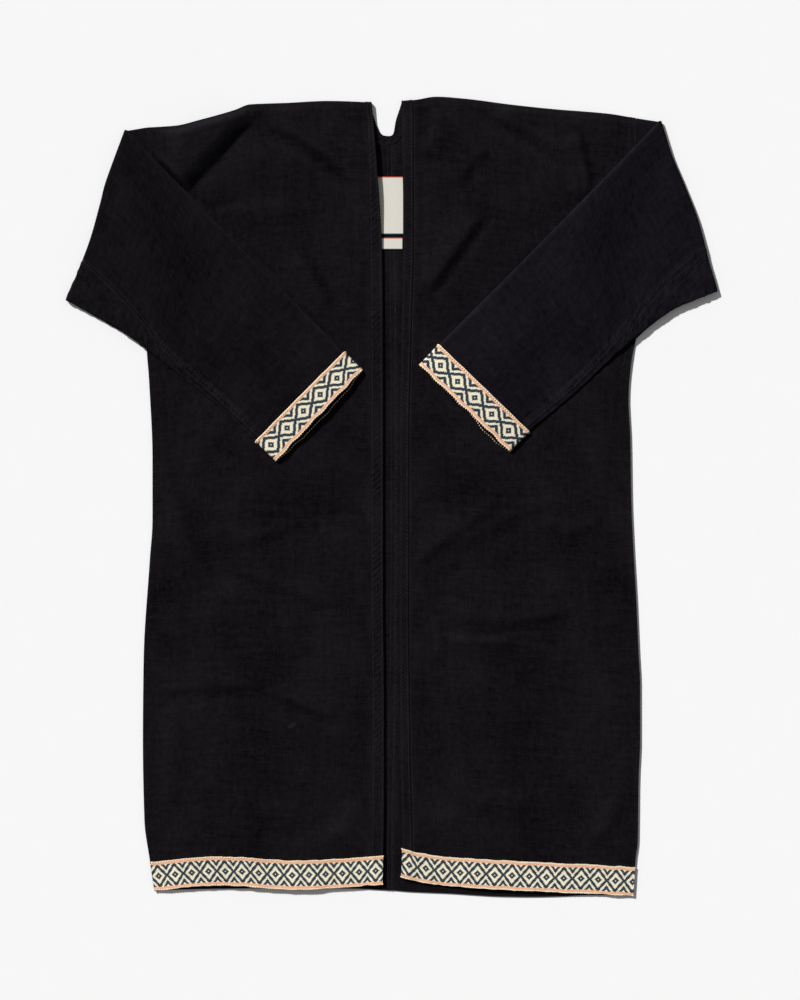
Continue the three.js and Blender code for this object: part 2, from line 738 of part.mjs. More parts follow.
// The gusset fills the sleeve's open lower edge from the armhole to where its seam closes.
function gussetGrid(side, rings) {
  return rings.filter((ring) => ring.seam > 0).map((ring) => {
    const reach = ring.seam - GAP;
    const up = [0, ROUND_STEP, LAYER_HALF, mix(LAYER_HALF, reach, 0.5), reach];
    const back = up.slice(1).reverse().map((distance) => ringPoint(side, ring, distance, true));
    const front = up.map((distance) => ringPoint(side, ring, distance, false));
    return [...back, ...front];
  });
}

// The ribbon round a cuff, moved out from the sleeve's own points.
function cuffRibbonGrid(side, sleeve) {
  const cuff = sleeve.slice(-RING_STEPS - 1);
  const middle = Math.floor(FLAT_COLUMNS / 2);
  const outward = Math.sign(gridNormals(cuff, 0)[0][middle].z);
  return movedGrid(cuff, outward * (CLOTH / 2 + GAP + RIBBON_WALL / 2), 0);
}

// ---- The labels on the back, inside the neck ------------------------------------------

function labelGrid({ x, y, width, height }) {
  const z = CLOTH + GAP + LABEL_WALL / 2;
  const corner = (dx, dy) => new THREE.Vector3(x + dx * width, y + dy * height, z);
  const level = (dy) => [corner(-0.5, dy), corner(0.5, dy)];
  return [level(-0.5), level(0.5)];
}

// ---- The coat -------------------------------------------------------------------------

const coat = new THREE.Group();

for (const side of [RIGHT, LEFT]) {
  const rings = sleeveRings(side);
  const sleeve = sleeveGrid(side, rings);
  const closedRow = rings.findIndex((ring) => ring.seam === 0);
  coat.add(
    piece(`body_${side.name}`, wall(bodyGrid(side), CLOTH), COTTON),
    piece(`sleeve_${side.name}`, wall(sleeve, CLOTH, closedRow), COTTON),
    piece(`gusset_${side.name}`, wall(gussetGrid(side, rings), CLOTH), COTTON),
    piece(`cuff_ribbon_${side.name}`, wall(cuffRibbonGrid(side, sleeve), RIBBON_WALL, 0), RIBBON),
    piece(`hem_ribbon_${side.name}`, wall(hemRibbonGrid(side), RIBBON_WALL), RIBBON),
  );
}
coat.add(
  piece('front_band', wall(bandGrid(), BAND_WALL), COTTON),
  piece('neck_label', wall(labelGrid(MAIN_LABEL), LABEL_WALL), LABEL),
  piece('size_label', wall(labelGrid(SIZE_LABEL), LABEL_WALL), LABEL),
);

// The origin is the middle of the box's underside, on the surface that the coat lies on.
const box = new THREE.Box3().setFromObject(coat);
const middle = box.getCenter(new THREE.Vector3());
coat.position.set(-middle.x, -middle.y, -box.min.z);

export default coat;
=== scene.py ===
"""A long open noragi jacket of straight-cut washed cotton, laid on its back with both sleeves
folded over its fronts. In the tables lengths are millimetres, "out" is the distance from the
centre line and "y" runs from mid length up to the collar. The scene itself is in metres."""

import math
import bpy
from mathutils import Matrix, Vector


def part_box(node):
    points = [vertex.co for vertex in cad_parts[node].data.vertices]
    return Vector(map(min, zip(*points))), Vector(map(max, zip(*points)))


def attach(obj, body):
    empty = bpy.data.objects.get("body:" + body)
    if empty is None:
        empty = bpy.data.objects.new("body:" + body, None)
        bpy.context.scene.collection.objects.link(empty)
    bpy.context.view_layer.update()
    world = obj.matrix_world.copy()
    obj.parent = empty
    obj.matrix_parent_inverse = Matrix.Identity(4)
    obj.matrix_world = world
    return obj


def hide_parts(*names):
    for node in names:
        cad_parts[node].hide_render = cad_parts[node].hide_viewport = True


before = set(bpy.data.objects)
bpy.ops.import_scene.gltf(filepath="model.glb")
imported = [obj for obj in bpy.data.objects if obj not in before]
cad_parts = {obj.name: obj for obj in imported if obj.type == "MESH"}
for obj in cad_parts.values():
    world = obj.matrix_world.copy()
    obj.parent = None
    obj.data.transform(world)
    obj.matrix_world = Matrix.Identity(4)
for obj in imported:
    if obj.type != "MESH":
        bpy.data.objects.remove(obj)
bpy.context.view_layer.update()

from types import SimpleNamespace as Record

import bmesh
import bpy
import numpy as np
from mathutils import Vector
from numpy import concatenate as join
from numpy.linalg import norm

MM = 0.001

# ---- Sizes of the cut ----

CLOTH = 1.2
BAND_WALL = 2.0
RIBBON_WALL = 1.0
LABEL_WALL = 1.0
GAP = 0.3
RIBBON_WIDTH = 37.5
BACK_BAND_WIDTH = 10.5
ARMHOLE_OUT = 318
MAIN_LABEL = Record(x=0, y=384.5, width=50, height=75)
SIZE_LABEL = Record(x=0.5, y=335, width=27, height=15.5)

# How high the fronts stand off the back, and the lengths over which that fades at each edge.
LOFT = 1.6
HEM_LOFT = 2.1
SIDE_ROLL = 45
MOST_LIFT = 15.0
SHOULDER_FADE = 11
SLEEVE_CLEAR = 1
SLEEVE_FADE = 9
HEM_FADE = 120
EDGE_FADE = 14
CREASE_GAIN = 1.35
COVERED_RELIEF = 0.12
COLLAR = Record(foot=325, climb=95, top=502, fall=40, spread=34)

# The flattened sleeve. A run is a start and a length along its rings, up to the cuff at 6.
FOLD_RADIUS = 2.5
CUFF_RISE = 1.1
SLEEVE_BULGE = 1.3
CUFF_BULGE = 3.5
CUFF_WAVE = 0.55
LEAST_SEAM = 2
LAYER_HALF = (CLOTH + GAP) / 2
LOWER_LEVEL = LAYER_HALF + CLOTH / 2
UPPER_LEVEL = LOWER_LEVEL + 2 * FOLD_RADIUS
RISE_RUN = (3, 2)
WAVE_RUN = (4.6, 1.2)
LAP_RUN = (4.2, 1.3)
BULGE_RUN = (3.8, 1.6)

# Felled seams, turned hems and rows of stitching: how far in from their edge they lie.
SEAM_FELL = (1.2, 6.4)
ARMHOLE_FELL = (1.5, 9.5)
HEM_FOLD = 13.0
HEM_STITCHES = (3.5, HEM_FOLD - 1)
FRONT_STITCH = 1.6
BAND_STITCHES = (2.4, 2.2)
RIBBON_STITCH = 0.7
SLEEVE_FELL = 8.0
SLEEVE_STITCHES = (1.4, 1 - SLEEVE_FELL, -1.2)

# How high seams, ropes and quilting stand, how far apart their puckers lie, and how they rub.
FELL_HEIGHT = 0.22
FELL_PITCH = 7.5
SLEEVE_FELL_HEIGHT = 0.4
SLEEVE_FELL_PITCH = 5.2
PEBBLE = 0.5
PEBBLE_SIZE = 5.5
ROPE_HEIGHT = 0.34
QUILT_HEIGHT = 0.42
QUILT_PITCHES = (13, 8)
CORD_IN = 2.6
CORD_SPREAD = 1.6
RUB_WIDTH = 2.5
# Gain of the paler crests, partly painted highlight, and of the painted shade in crease valleys.
CREST_WEAR_AND_SHADE_GAIN = 5.0

# How finely each piece is divided, and from which angle on an edge is shaded sharp.
SHARP_ANGLE = 62
BODY_COLUMNS = 84
BACK_ROWS = 44
NECK_POINTS = 28
NECK_SHARE = 0.9
TURN_STEPS = 12
FRONT_ROWS = 320
RIBBON_ROWS = 12
ARMHOLE_ROWS = 110
BAND_ROWS = 860
BAND_HEM_ROWS = 34
RIBBON_ACROSS = 28
RIBBON_ALONG = 200
LOWER_LEG_STEPS = 14
FOLD_STEPS = 10
RING_STEPS = 33
EDGE_STEPS = 4


def table(columns, *rows):
    """Rows of numbers under named columns, as one array for each name."""
    return dict(zip(columns.split(), np.array(rows, float).T))


def curve(rows, start, end):
    """A smooth curve through a table's rows that never overshoots them."""
    at, value = rows[start], rows[end]
    climb = np.diff(value) / np.diff(at)
    before, after = np.append(climb[0], climb), np.append(climb, climb[-1])
    same_way = before * after > 0
    slope = np.where(same_way, 2 * before * after / np.where(same_way, before + after, 1), 0)

    def read(x):
        held = np.clip(x, at[0], at[-1])
        i = np.clip(np.searchsorted(at, held) - 1, 0, len(at) - 2)
        span = at[i + 1] - at[i]
        t = (held - at[i]) / span
        first = (1 + 2 * t) * (1 - t) ** 2 * value[i] + t * (1 - t) ** 2 * span * slope[i]
        last = t * t * (3 - 2 * t) * value[i + 1] - t * t * (1 - t) * span * slope[i + 1]
        return first + last

    return read


def line(columns, *rows):
    """The smooth curve through rows of two numbers, from the first column to the second."""
    return curve(table(columns, *rows), *columns.split())


# Each crease is a long soft ridge, or a trough where its height is below zero. It has two ends,
# with x to the wearer's left, a bow to the left of the way from first to last, a height, and a
# spread to the left and to the right, where a left spread below zero is a steep side with a
# sharp foot. "fold_bow_at" is how far the sleeve's folded edge runs outside a straight line, and
# "lap_at" how far the cuff's under layer shows past the upper, at shares of the way up the edge.
CREASE = "x1 y1 x2 y2 bow height left right"

RIGHT = Record(
    name="right",
    sign=-1,
    outline_at=line(
        "y out",
        (-506, 308), (-466, 314), (-414, 321), (-310, 323), (-206, 322), (-76, 314),
        (-24, 310.5), (54, 310.5), (158, 315), (203, ARMHOLE_OUT), (520, ARMHOLE_OUT),
    ),
    shoulder_at=line(
        "out y",
        (12, 518), (82, 520.5), (135, 518), (184, 516), (203, 509), (249, 496), (280, 488.5),
        (318, 486),
    ),
    band=table(
        "y edge seam",
        (-505, 11.7, 27.3), (-388, 9.8, 25.5), (-258, 9.8, 25.2), (-128, 11, 26.5),
        (132, 11, 26.6), (327, 12.4, 27.8), (392, 15.5, 28.6), (430, 18.5, 29.4),
        (462, 21, 30), (519, 25.5, 33.5),
    ),
    front_hem_at=line("out y", (12, -497.3), (125, -503.8), (225, -498), (308, -505.7)),
    back_hem_at=line(
        "out y",
        (0, -505.4), (20, -504.4), (45, -503.2), (120, -502.6), (223, -503.2), (308, -505.2),
    ),
    neck_corner=(28, 35),
    neck_stand=4.5,
    fold_top=(346.5, 483),
    fold_low=(423.5, 261.2),
    rings=table(
        "top_out top_y low_out low_y seam",
        (300, 435.6, 364.7, 231.3, 38), (262, 396.9, 318.2, 198.3, 22),
        (228, 362.3, 292, 178.3, 2.4), (150, 282.8, 235.3, 133.5, 0),
        (62.3, 193.4, 175.8, 79.3, 0), (39, 169.7, 149.2, 54, 0),
    ),
    fold_bow_at=line("share out", (0, 0), (0.34, -4.2), (0.56, -1.4), (0.7, 1.2), (1, 0)),
    underarm_y=203,
    underarm_bow=0,
    armhole_seam=116,
    fold_seam=56,
    ribbon_phase=(9.4, 21.8),
    cuff_phase=(12.1, 30.5),
    rope_pitch=7.8,
    rope_lean=0.9,
    lap_at=line("share out", (0, 0), (0.2, 3.6), (0.5, 5), (0.8, 3.8), (1, 0)),
    rubbed_fold=0.1,
    gusset_rows=(1.3,),
    creases=table(
        CREASE,
        (-185, 533, -327, 378, 0, 10.6, -30, 62), (-150, 466, -272, 386, 0, 2.2, 22, 20),
        (-174, 491, -41, 402, 9, -0.8, 8, 9), (-166, 500, -33, 410, 9, 2.4, 22, 9),
        (-184, 476, -60, 392, 9, 2, 10, 30), (-255, 376, -119, 397, 8, -0.6, 9, 9),
        (-249, 363, -119, 384, 8, 1.6, 9, 24), (-124, 340, -72, 239, 6, -0.7, 9, 9),
        (-135, 330, -83, 231, 6, 1.8, 8, 20), (-297, 99, -233, -109, -4, -0.7, 18, 18),
        (-314, 106, -250, -115, -4, 2.8, 15, 26), (-220, -89, -60, -148, 0, -0.7, 8, 10),
        (-216, -77, -57, -136, 0, 1.8, 22, 13), (-229, -57, -119, -27, 0, 1.5, 9, 9),
        (-317, -258, -161, -246, 5, -0.6, 8, 10), (-317, -248, -161, -236, 5, 2.2, 20, 9),
        (-168, -245, -67, -289, -4, -0.7, 9, 9), (-161, -235, -59, -279, -4, 2, 18, 8),
        (-31, -378, -106, -450, 8, 2, 16, 14), (-261, -398, -170, -437, 0, 1.8, 16, 18),
        (-296, -262, -300, -411, 10, 2.2, 20, 14),
    ),
    sleeve_creases=table(
        CREASE,
        (-337, 437, -379, 275, 0, 2.6, 45, 25), (-168, 288, -233, 174, 0, 2.4, 36, 40),
        (-262, 405, -168, 311, 0, -0.4, 18, 18), (-262, 283, -323, 262, 0, 1.4, 12, 14),
        (-179, 124, -119, 151, 0, 1.5, 12, 12),
    ),
)

LEFT = Record(
    name="left",
    sign=1,
    outline_at=line(
        "y out",
        (-513, 314), (-466, 317), (-440, 320), (-362, 321), (-310, 323), (-240, 323),
        (-193, 320.8), (-128, 318), (-63, 314.3), (2, 311.5), (80, 310.3), (132, 308),
        (203, 315), (212, ARMHOLE_OUT), (520, ARMHOLE_OUT),
    ),
    shoulder_at=line(
        "out y",
        (12, 520), (32, 522), (58, 526), (94, 523.5), (157, 515.5), (209, 510), (281, 504),
        (318, 498),
    ),
    band=table(
        "y edge seam",
        (-488, 12.4, 25.4), (-453, 13.7, 26.7), (-323, 11.7, 24), (-128, 10.4, 22.1),
        (80, 11, 22.3), (223, 13, 25.4), (327, 15, 28), (392, 15, 28.3), (457, 13.7, 28),
        (521, 13, 27.5),
    ),
    front_hem_at=line(
        "out y",
        (12, -487.6), (38, -494), (77, -499.2), (171, -505), (271, -509.7), (314, -512.5),
    ),
    back_hem_at=line(
        "out y",
        (0, -505.4), (24, -507.4), (76, -509.6), (102, -511.3), (141, -513.4), (180, -513.9),
        (219, -513.2), (258, -511.5), (314, -511.5),
    ),
    neck_corner=(13, 26),
    neck_stand=1.5,
    fold_top=(350.4, 494.7),
    fold_low=(424, 272.8),
    rings=table(
        "top_out top_y low_out low_y seam",
        (300, 443.4, 367, 250, 41), (262, 404.7, 318, 215, 24), (228, 370.1, 292, 193, 2.4),
        (150, 290.8, 238, 142, 0), (62.5, 203, 178, 91.7, 0), (37.6, 176.4, 152.5, 66.4, 0),
    ),
    fold_bow_at=line(
        "share out", (0, 0), (0.16, 1.5), (0.42, 5), (0.64, 2.2), (0.82, -0.8), (1, 0)
    ),
    underarm_y=212,
    underarm_bow=9.5,
    armhole_seam=107,
    fold_seam=61,
    ribbon_phase=(9.9, 22.5),
    cuff_phase=(21.5, 30.6),
    rope_pitch=5,
    rope_lean=-0.55,
    lap_at=line("share out", (0, 0), (0.12, 3.4), (0.22, 4.4), (0.4, 0.6), (1, 0)),
    rubbed_fold=0.45,
    gusset_rows=(1.3, 9.5, 20),
    creases=table(
        CREASE,
        (131, 382, 42, 254, 0, -0.8, 9, 9), (123, 388, 34, 261, 0, 5, 10, 26),
        (141, 375, 53, 248, 0, 2, 30, 8), (130, 458, 80, 402, 0, -0.8, 9, 9),
        (122, 466, 72, 410, 0, 1.7, 11, 22), (108, 502, 232, 432, 6, -0.7, 9, 9),
        (118, 514, 244, 446, 6, 2.6, 26, 11), (100, 490, 224, 422, 6, 1.4, 9, 24),
        (236, 452, 250, 395, 0, -0.5, 9, 9), (236, 486, 256, 386, 0, 3.4, -10, 22),
        (58, 518, 34, 449, 10, 2.2, 20, 8), (18, -83, 141, 5, 0, 2.6, 16, 9),
        (63, -66, 219, 8, 6, 1.6, 12, 10), (31, -115, 102, -76, 0, -0.6, 8, 8),
        (60, -151, 245, -144, -14, -0.8, 8, 9), (60, -141, 245, -133, -14, 2.9, 24, 13),
        (63, -172, 167, -175, -6, 2.4, 6, 16), (55, -146, 63, -209, 0, 1.6, 7, 9),
        (213, -44, 272, -21, 0, 1.8, 12, 12), (317, -352, 246, -456, 5, 2.6, 11, 20),
        (72, -352, 131, -398, 0, 1.8, 14, 16), (276, -375, 227, -469, 0, -0.6, 11, 11),
    ),
    sleeve_creases=table(
        CREASE,
        (271, 418, 167, 262, 0, 2.2, 34, 26), (190, 187, 170, 124, 0, 1.6, 12, 16),
        (300, 327, 359, 296, 0, 1.3, 20, 16), (115, 262, 219, 181, 0, 1.4, 20, 16),
    ),
)
SIDES = (RIGHT, LEFT)

# The free edge of the band round the back neck, from the right shoulder to the left.
BACK_NECK = table(
    "x y",
    (-25.6, 508.6), (-18.9, 487.4), (-15, 479.5), (-9.5, 475.4), (-3, 474.8), (1, 476.2),
    (3, 480), (5.4, 494), (10.6, 510),
)

# The centre back seam, from the hem up to the neck.
CENTRE_SEAM = table(
    "y x",
    (-513, 1.7), (-470, 1.7), (-300, 4), (0, 6.2), (200, 5.6), (300, 4.5), (392, 2),
    (420, 1.4), (476, 1.4),
)

# The felled seam down the sleeve's back: how far from the lower edge it runs at each ring.
SEAM_ROWS = ((1, 41), (2, 25), (3, 18.5), (4, 13.5), (6, 12.5))

# The same origin as the solids: the main label's middle is at a known place in both.
label_low, label_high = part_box("neck_label")
label_middle = (label_low + label_high) / 2
ORIGIN = np.array([label_middle.x - MAIN_LABEL.x * MM, label_middle.y - MAIN_LABEL.y * MM, 0])


# ---- Numbers ----


def mix(a, b, t):
    return a + (b - a) * t


def smooth(t):
    held = np.clip(t, 0, 1)
    return held * held * (3 - 2 * held)


def fade(x, start, run):
    """0 up to a start and 1 from the end of its run on."""
    return smooth((x - start) / run)


def bump_between(distance, start, end, soft=0.8):
    """1 between two distances and 0 outside them, with soft steps."""
    return smooth((distance - start) / soft + 0.5) * smooth((end - distance) / soft + 0.5)


def ridge(x, middle, spread):
    return np.exp(-(((x - middle) / spread) ** 2))


def waves(x, pitch, lead):
    return np.sin(x * (2 * math.pi / pitch) + lead)


def steps(count):
    return np.linspace(0, 1, count + 1)


def edged(count, rim):
    """Even shares from 0 to 1 with a few more close to either end, for a crisp rounded rim."""
    ends = rim * np.array([0.12, 0.4, 1])
    return join([[0], ends, steps(count)[1:-1], 1 - ends[::-1], [1]])


def crease_height(creases, x, y):
    """The height that a table of creases adds at each place."""
    height = np.zeros(np.broadcast(x, y).shape)
    for x1, y1, x2, y2, bow, high, left, right in zip(*creases.values()):
        along_x, along_y = x2 - x1, y2 - y1
        length = math.hypot(along_x, along_y)
        t = ((x - x1) * along_x + (y - y1) * along_y) / length**2
        across = ((y - y1) * along_x - (x - x1) * along_y) / length
        off = across - bow * 4 * t * (1 - t)
        share = (off / np.where(off > 0, left, right)) ** 2
        sharp = (off > 0) & (left < 0)
        profile = np.where(sharp, np.clip(1 - share, 0, 1), np.exp(-share))
        height += high * smooth(4 * t) * smooth(4 * (1 - t)) * profile
    return height


def soft_noise(x, y, size, seed):
    """Smooth noise from -1 to 1 that changes over about one size, turned off the grid."""
    wide, long = 97, 89
    lattice = np.random.default_rng(seed).uniform(-1, 1, (wide, long))
    turn = 0.6 + seed
    u = (x * math.cos(turn) - y * math.sin(turn)) / size
    v = (x * math.sin(turn) + y * math.cos(turn)) / size
    i, j = np.floor(u).astype(int), np.floor(v).astype(int)
    a, b = smooth(u - i), smooth(v - j)

    def at(di, dj):
        return lattice[(i + di) % wide, (j + dj) % long]

    return mix(mix(at(0, 0), at(1, 0), a), mix(at(0, 1), at(1, 1), a), b)


def washed(x, y, seed):
    """The uneven relief that washing leaves in heavy cotton, by the size of its lumps."""
    lumps = (85, 1.6), (42, 0.95), (20, 0.42), (9, 0.09)
    return sum(height * soft_noise(x, y, size, seed + size) for size, height in lumps)


# ---- Shells ----


def grid_normals(grid, closed):
    """The directions square to a grid of points. From row "closed" on, each row is a loop."""
    along, across = np.gradient(grid, axis=0), np.gradient(grid, axis=1)
    across[closed:, 0] = across[closed:, -1] = grid[closed:, 1] - grid[closed:, -2]
    square = np.cross(along, across)
    return square / norm(square, axis=2, keepdims=True)


def laid_out(grid):
    """Each point's place on the flat cloth, in metres: across the rows and along them."""
    across = norm(np.diff(grid, axis=1), axis=2)
    along = norm(np.diff(grid, axis=0), axis=2).mean(axis=1)
    u = np.cumsum(np.pad(across, ((0, 0), (1, 0))), axis=1)
    v = np.cumsum(np.append(0, along))
    return np.stack([u, np.broadcast_to(v[:, None], u.shape)], axis=2) * MM


def laid_out_mm(grid):
    """The same as two arrays in millimetres."""
    return np.moveaxis(laid_out(grid) / MM, -1, 0)


def put(name, data):
    """A new object in the scene, at its origin."""
    made = bpy.data.objects.new(name, data)
    bpy.context.scene.collection.objects.link(made)
    return made


def place(name, points, faces, uv, wear_and_shade, material, merged):
    """Makes a smooth-shaded mesh object from points in table millimetres."""
    mesh = bpy.data.meshes.new(name)
    mesh.from_pydata((points * MM + ORIGIN).tolist(), [], faces.tolist())
    layer = mesh.uv_layers.new(name="UVMap")
    layer.data.foreach_set("uv", uv[faces.ravel()].astype(np.float32).ravel())
    # This attribute holds rubbed wear together with the painted shade of crease valleys and painted
    # highlight on crests.
    rubbed = mesh.attributes.new("wear_and_shade", "FLOAT", "POINT")
    rubbed.data.foreach_set("value", wear_and_shade.astype(np.float32))
    if merged:
        form = bmesh.new()
        form.from_mesh(mesh)
        bmesh.ops.remove_doubles(form, verts=form.verts, dist=1e-6)
        form.to_mesh(mesh)
        form.free()
    mesh.shade_smooth()
    mesh.set_sharp_from_angle(angle=math.radians(SHARP_ANGLE))
    mesh.materials.append(material)
    return put(name, mesh)


def quads(at):
    corners = [at[:-1, :-1], at[1:, :-1], at[1:, 1:], at[:-1, 1:]]
    return np.stack(corners, axis=-1).reshape(-1, 4)


def crest_wear_and_valley_shade(height, grid):
    """How strongly each place is a crest, paler as rubbed wear and painted highlight, or below
    zero a valley, darker as painted shade.
    """
    bend = 0
    for axis in (0, 1):
        run = norm(np.gradient(grid, axis=axis), axis=2)
        bend = bend + np.gradient(np.gradient(height, axis=axis) / run, axis=axis) / run
    return np.clip(-CREST_WEAR_AND_SHADE_GAIN * bend, -0.6, 0.6)


def shell(name, grid, thickness, material, raised=0.0, wear_and_shade=0.0, closed=None, facing=1, chart=None):
    """A closed cloth wall about a grid of middle points. "raised" lifts its outer face, the
    wear value is how rubbed each place is and holds painted shade, and "chart" is its place on
    the flat cloth. Gives the object, the outer face's points and the flat size of the cloth."""
    rows, columns = grid.shape[:2]
    closed = rows if closed is None else closed
    square = grid_normals(grid, closed) * facing
    relief = np.broadcast_to(raised, (rows, columns))[..., None]
    upper = grid + square * (thickness / 2 + relief)
    under = grid - square * (thickness / 2)
    at = np.arange(rows * columns).reshape(rows, columns)
    low = rows * columns

    def rim(edge):
        return np.stack([edge[:-1], edge[:-1] + low, edge[1:] + low, edge[1:]], 1)

    open_rows = at[: closed + 1]
    rims = rim(open_rows[:, 0]), rim(open_rows[::-1, -1]), rim(at[0, ::-1]), rim(at[-1])
    faces = join([quads(at), quads(at + low)[:, ::-1], *rims])
    points = join([upper.reshape(-1, 3), under.reshape(-1, 3)])
    a, b, c, d = np.moveaxis(points[faces], 1, 0)
    if (a * (np.cross(b, c) + np.cross(c, d))).sum() < 0:
        faces = faces[:, ::-1]
    flat = laid_out(grid)
    size = flat.reshape(-1, 2).max(axis=0)
    sides = np.diff(grid[:, :-1], axis=0), np.diff(grid[:-1], axis=1)
    area = norm(np.cross(*sides), axis=2).sum() * MM * MM
    chart = (flat if chart is None else chart).reshape(-1, 2)
    wear_and_shade = np.tile(np.broadcast_to(wear_and_shade, (rows, columns)).ravel(), 2)
    made = place(name, points, faces, join([chart, chart]), wear_and_shade, material, closed < rows)
    return Record(piece=made, top=upper, cut=size, area=float(area))


def pick(top, at, wanted):
    """A line across a face: on each row, the point where the row's own measure is wanted."""
    rows = np.arange(len(top))
    wanted = np.broadcast_to(wanted, len(top))
    i = np.clip((at <= wanted[:, None]).sum(axis=1) - 1, 0, at.shape[1] - 2)
    t = (wanted - at[rows, i]) / (at[rows, i + 1] - at[rows, i])
    return mix(top[rows, i], top[rows, i + 1], t[:, None])


def inset(top, distance, last=False):
    """A line on a face, at a distance in from its first column or from its last."""
    face = top[:, ::-1] if last else top
    run = np.cumsum(norm(np.diff(face, axis=1), axis=2), axis=1)
    return pick(face, np.pad(run, ((0, 0), (1, 0))), distance)


# ---- Nodes ----


def operator(operation, reflected=False):
    """One of Python's operators as a Math node."""

    def work(wire, other):
        return wire.nodes.math(operation, *((other, wire) if reflected else (wire, other)))

    return work


class Wire:
    """A shader number or vector that Python's own operators work on."""

    def __init__(self, nodes, socket):
        self.nodes = nodes
        self.socket = socket

    def __abs__(self):
        return self.nodes.math("ABSOLUTE", self)

    __add__ = __radd__ = operator("ADD")
    __mul__ = __rmul__ = operator("MULTIPLY")
    __sub__, __rsub__ = operator("SUBTRACT"), operator("SUBTRACT", True)
    __truediv__, __rtruediv__ = operator("DIVIDE"), operator("DIVIDE", True)


class Nodes:
    """Adds nodes to a tree and feeds their sockets with numbers or links."""

    def __init__(self, tree):
        self.tree = tree

    def add(self, kind, sockets=(), **settings):
        node = self.tree.nodes.new(kind)
        for name, value in settings.items():
            setattr(node, name, value)
        for name, value in dict(sockets).items():
            self.feed(node.inputs[name], value)
        return node

    def feed(self, socket, value):
        if isinstance(value, Wire):
            value = value.socket
        if isinstance(value, bpy.types.NodeSocket):
            self.tree.links.new(value, socket)
        else:
            socket.default_value = value

    def value(self, kind, sockets=(), output=0, **settings):
        return Wire(self, self.add(kind, sockets, **settings).outputs[output])

    def math(self, operation, *values, clamp=False):
        fed = dict(enumerate(values))
        return self.value("ShaderNodeMath", fed, operation=operation, use_clamp=clamp)

    def between(self, value, low, high):
        """0 below low, 1 above high and a soft step between, or the other way round."""
        fed = {"Value": value, "From Min": low, "From Max": high}
        return self.value("ShaderNodeMapRange", fed, interpolation_type="SMOOTHSTEP")

    def inside(self, value, start, end, soft=0.02):
        """1 between two values and 0 outside them, with soft steps."""
        return self.between(value, start, start + soft) * (1 - self.between(value, end, end + soft))

    def blend(self, factor, a, b, way="MIX"):
        """One colour over another by a factor."""
        fed = {0: factor, 6: a, 7: b}
        return self.value("ShaderNodeMix", fed, output=2, data_type="RGBA", blend_type=way)

    def noise(self, vector, sizes, detail=2.0, roughness=0.5):
        fed = {0: vector, 1: sizes}
        spread = self.value("ShaderNodeVectorMath", fed, operation="MULTIPLY")
        fed = {"Vector": spread, "Scale": 1.0, "Detail": detail, "Roughness": roughness}
        return self.value("ShaderNodeTexNoise", fed)

    def in_object(self):
        """The place on the object itself."""
        return self.value("ShaderNodeTexCoord", output=3)

    def split(self, vector):
        parts = self.add("ShaderNodeSeparateXYZ", {0: vector}).outputs
        return [Wire(self, part) for part in parts]

    def on_cloth(self):
        """The place on the flat cloth, and how far that is across and along it."""
        uv = self.value("ShaderNodeUVMap", uv_map="UVMap")
        return uv, *self.split(uv)[:2]


def finish(name, look, *given):
    """A material of one Principled shader. Its look gives the colour, the roughness, the
    specular level and any relief: a height, its strength and its distance in millimetres."""
    material = bpy.data.materials.new(name)
    material.use_nodes = True
    material.node_tree.nodes.clear()
    nodes = Nodes(material.node_tree)
    colour, roughness, specular, *relief = look(nodes, *given)
    fed = {"Base Color": colour, "Roughness": roughness, "Specular IOR Level": specular}
    if relief:
        height, strength, distance = relief
        bump = {"Height": height, "Strength": strength, "Distance": distance * MM}
        fed["Normal"] = nodes.value("ShaderNodeBump", bump)
    nodes.add("ShaderNodeOutputMaterial", {0: nodes.value("ShaderNodeBsdfPrincipled", fed)})
    return material


# ---- Finishes ----

YARN = 1.1 * MM
LINT = Record(x=-129.4, y=-290.5, length=7, width=3.2, lean=(0.88, 0.47), floor=2.4)


def cotton_look(nodes, dark, rubbed):
    """Washed near-black cotton: uneven yarns, a faint cross weave, paler where it is rubbed and
    where painted highlight lies on crests, darker where painted shade lies in crease valleys,
    and one wisp of lint low on the right front."""
    uv, across, along = nodes.on_cloth()
    warp = nodes.noise(uv, (900, 45, 1), detail=1.5)
    weft = nodes.noise(uv, (40, 820, 1), detail=1.5)
    bars = nodes.noise(uv, (14, 130, 1))
    ribs = nodes.noise(uv, (140, 12, 1))
    mottle = nodes.noise(uv, (150, 150, 1), detail=5, roughness=0.72)
    clouds = nodes.noise(uv, (10, 8, 1), detail=4, roughness=0.62)
    wear_and_shade = nodes.value("ShaderNodeAttribute", output=2, attribute_name="wear_and_shade")
    yarns = 0.5 * (warp - 0.5) + 0.5 * (weft - 0.5) + 0.34 * (bars - 0.5) + 0.26 * (ribs - 0.5)
    tone = yarns + (mottle - 0.5) + (clouds - 0.5) + 0.36

    x, y, z = nodes.split(nodes.in_object())
    away_x, away_y = x - (ORIGIN[0] + LINT.x * MM), y - (ORIGIN[1] + LINT.y * MM)
    down, up = LINT.lean
    lengthways = (away_x * down + away_y * up) / (LINT.length * MM)
    sideways = (away_y * down - away_x * up) / (LINT.width * MM)
    wisp = lengthways * lengthways + sideways * sideways + 1.6 * (mottle - 0.5)
    on_front = nodes.between(z, LINT.floor * MM, (LINT.floor + 0.2) * MM)
    lint = (1 - nodes.between(wisp, 0.1, 1.3)) * on_front

    # Wear and the painted crease shade and highlight from the mesh move the tone between black and
    # pale.
    pale = nodes.math("ADD", 0.5 * wear_and_shade, tone + 0.75 * lint, clamp=True)
    turn = math.pi / YARN
    cross = nodes.math("SINE", across * turn) * nodes.math("SINE", along * turn)
    height = 0.5 * cross + 0.9 * warp + 0.9 * weft + 0.7 * bars + 0.7 * ribs + 2.2 * mottle
    return nodes.blend(pale, dark, rubbed), 0.12 * mottle + 0.82, 0.02, height, 0.6, 0.3


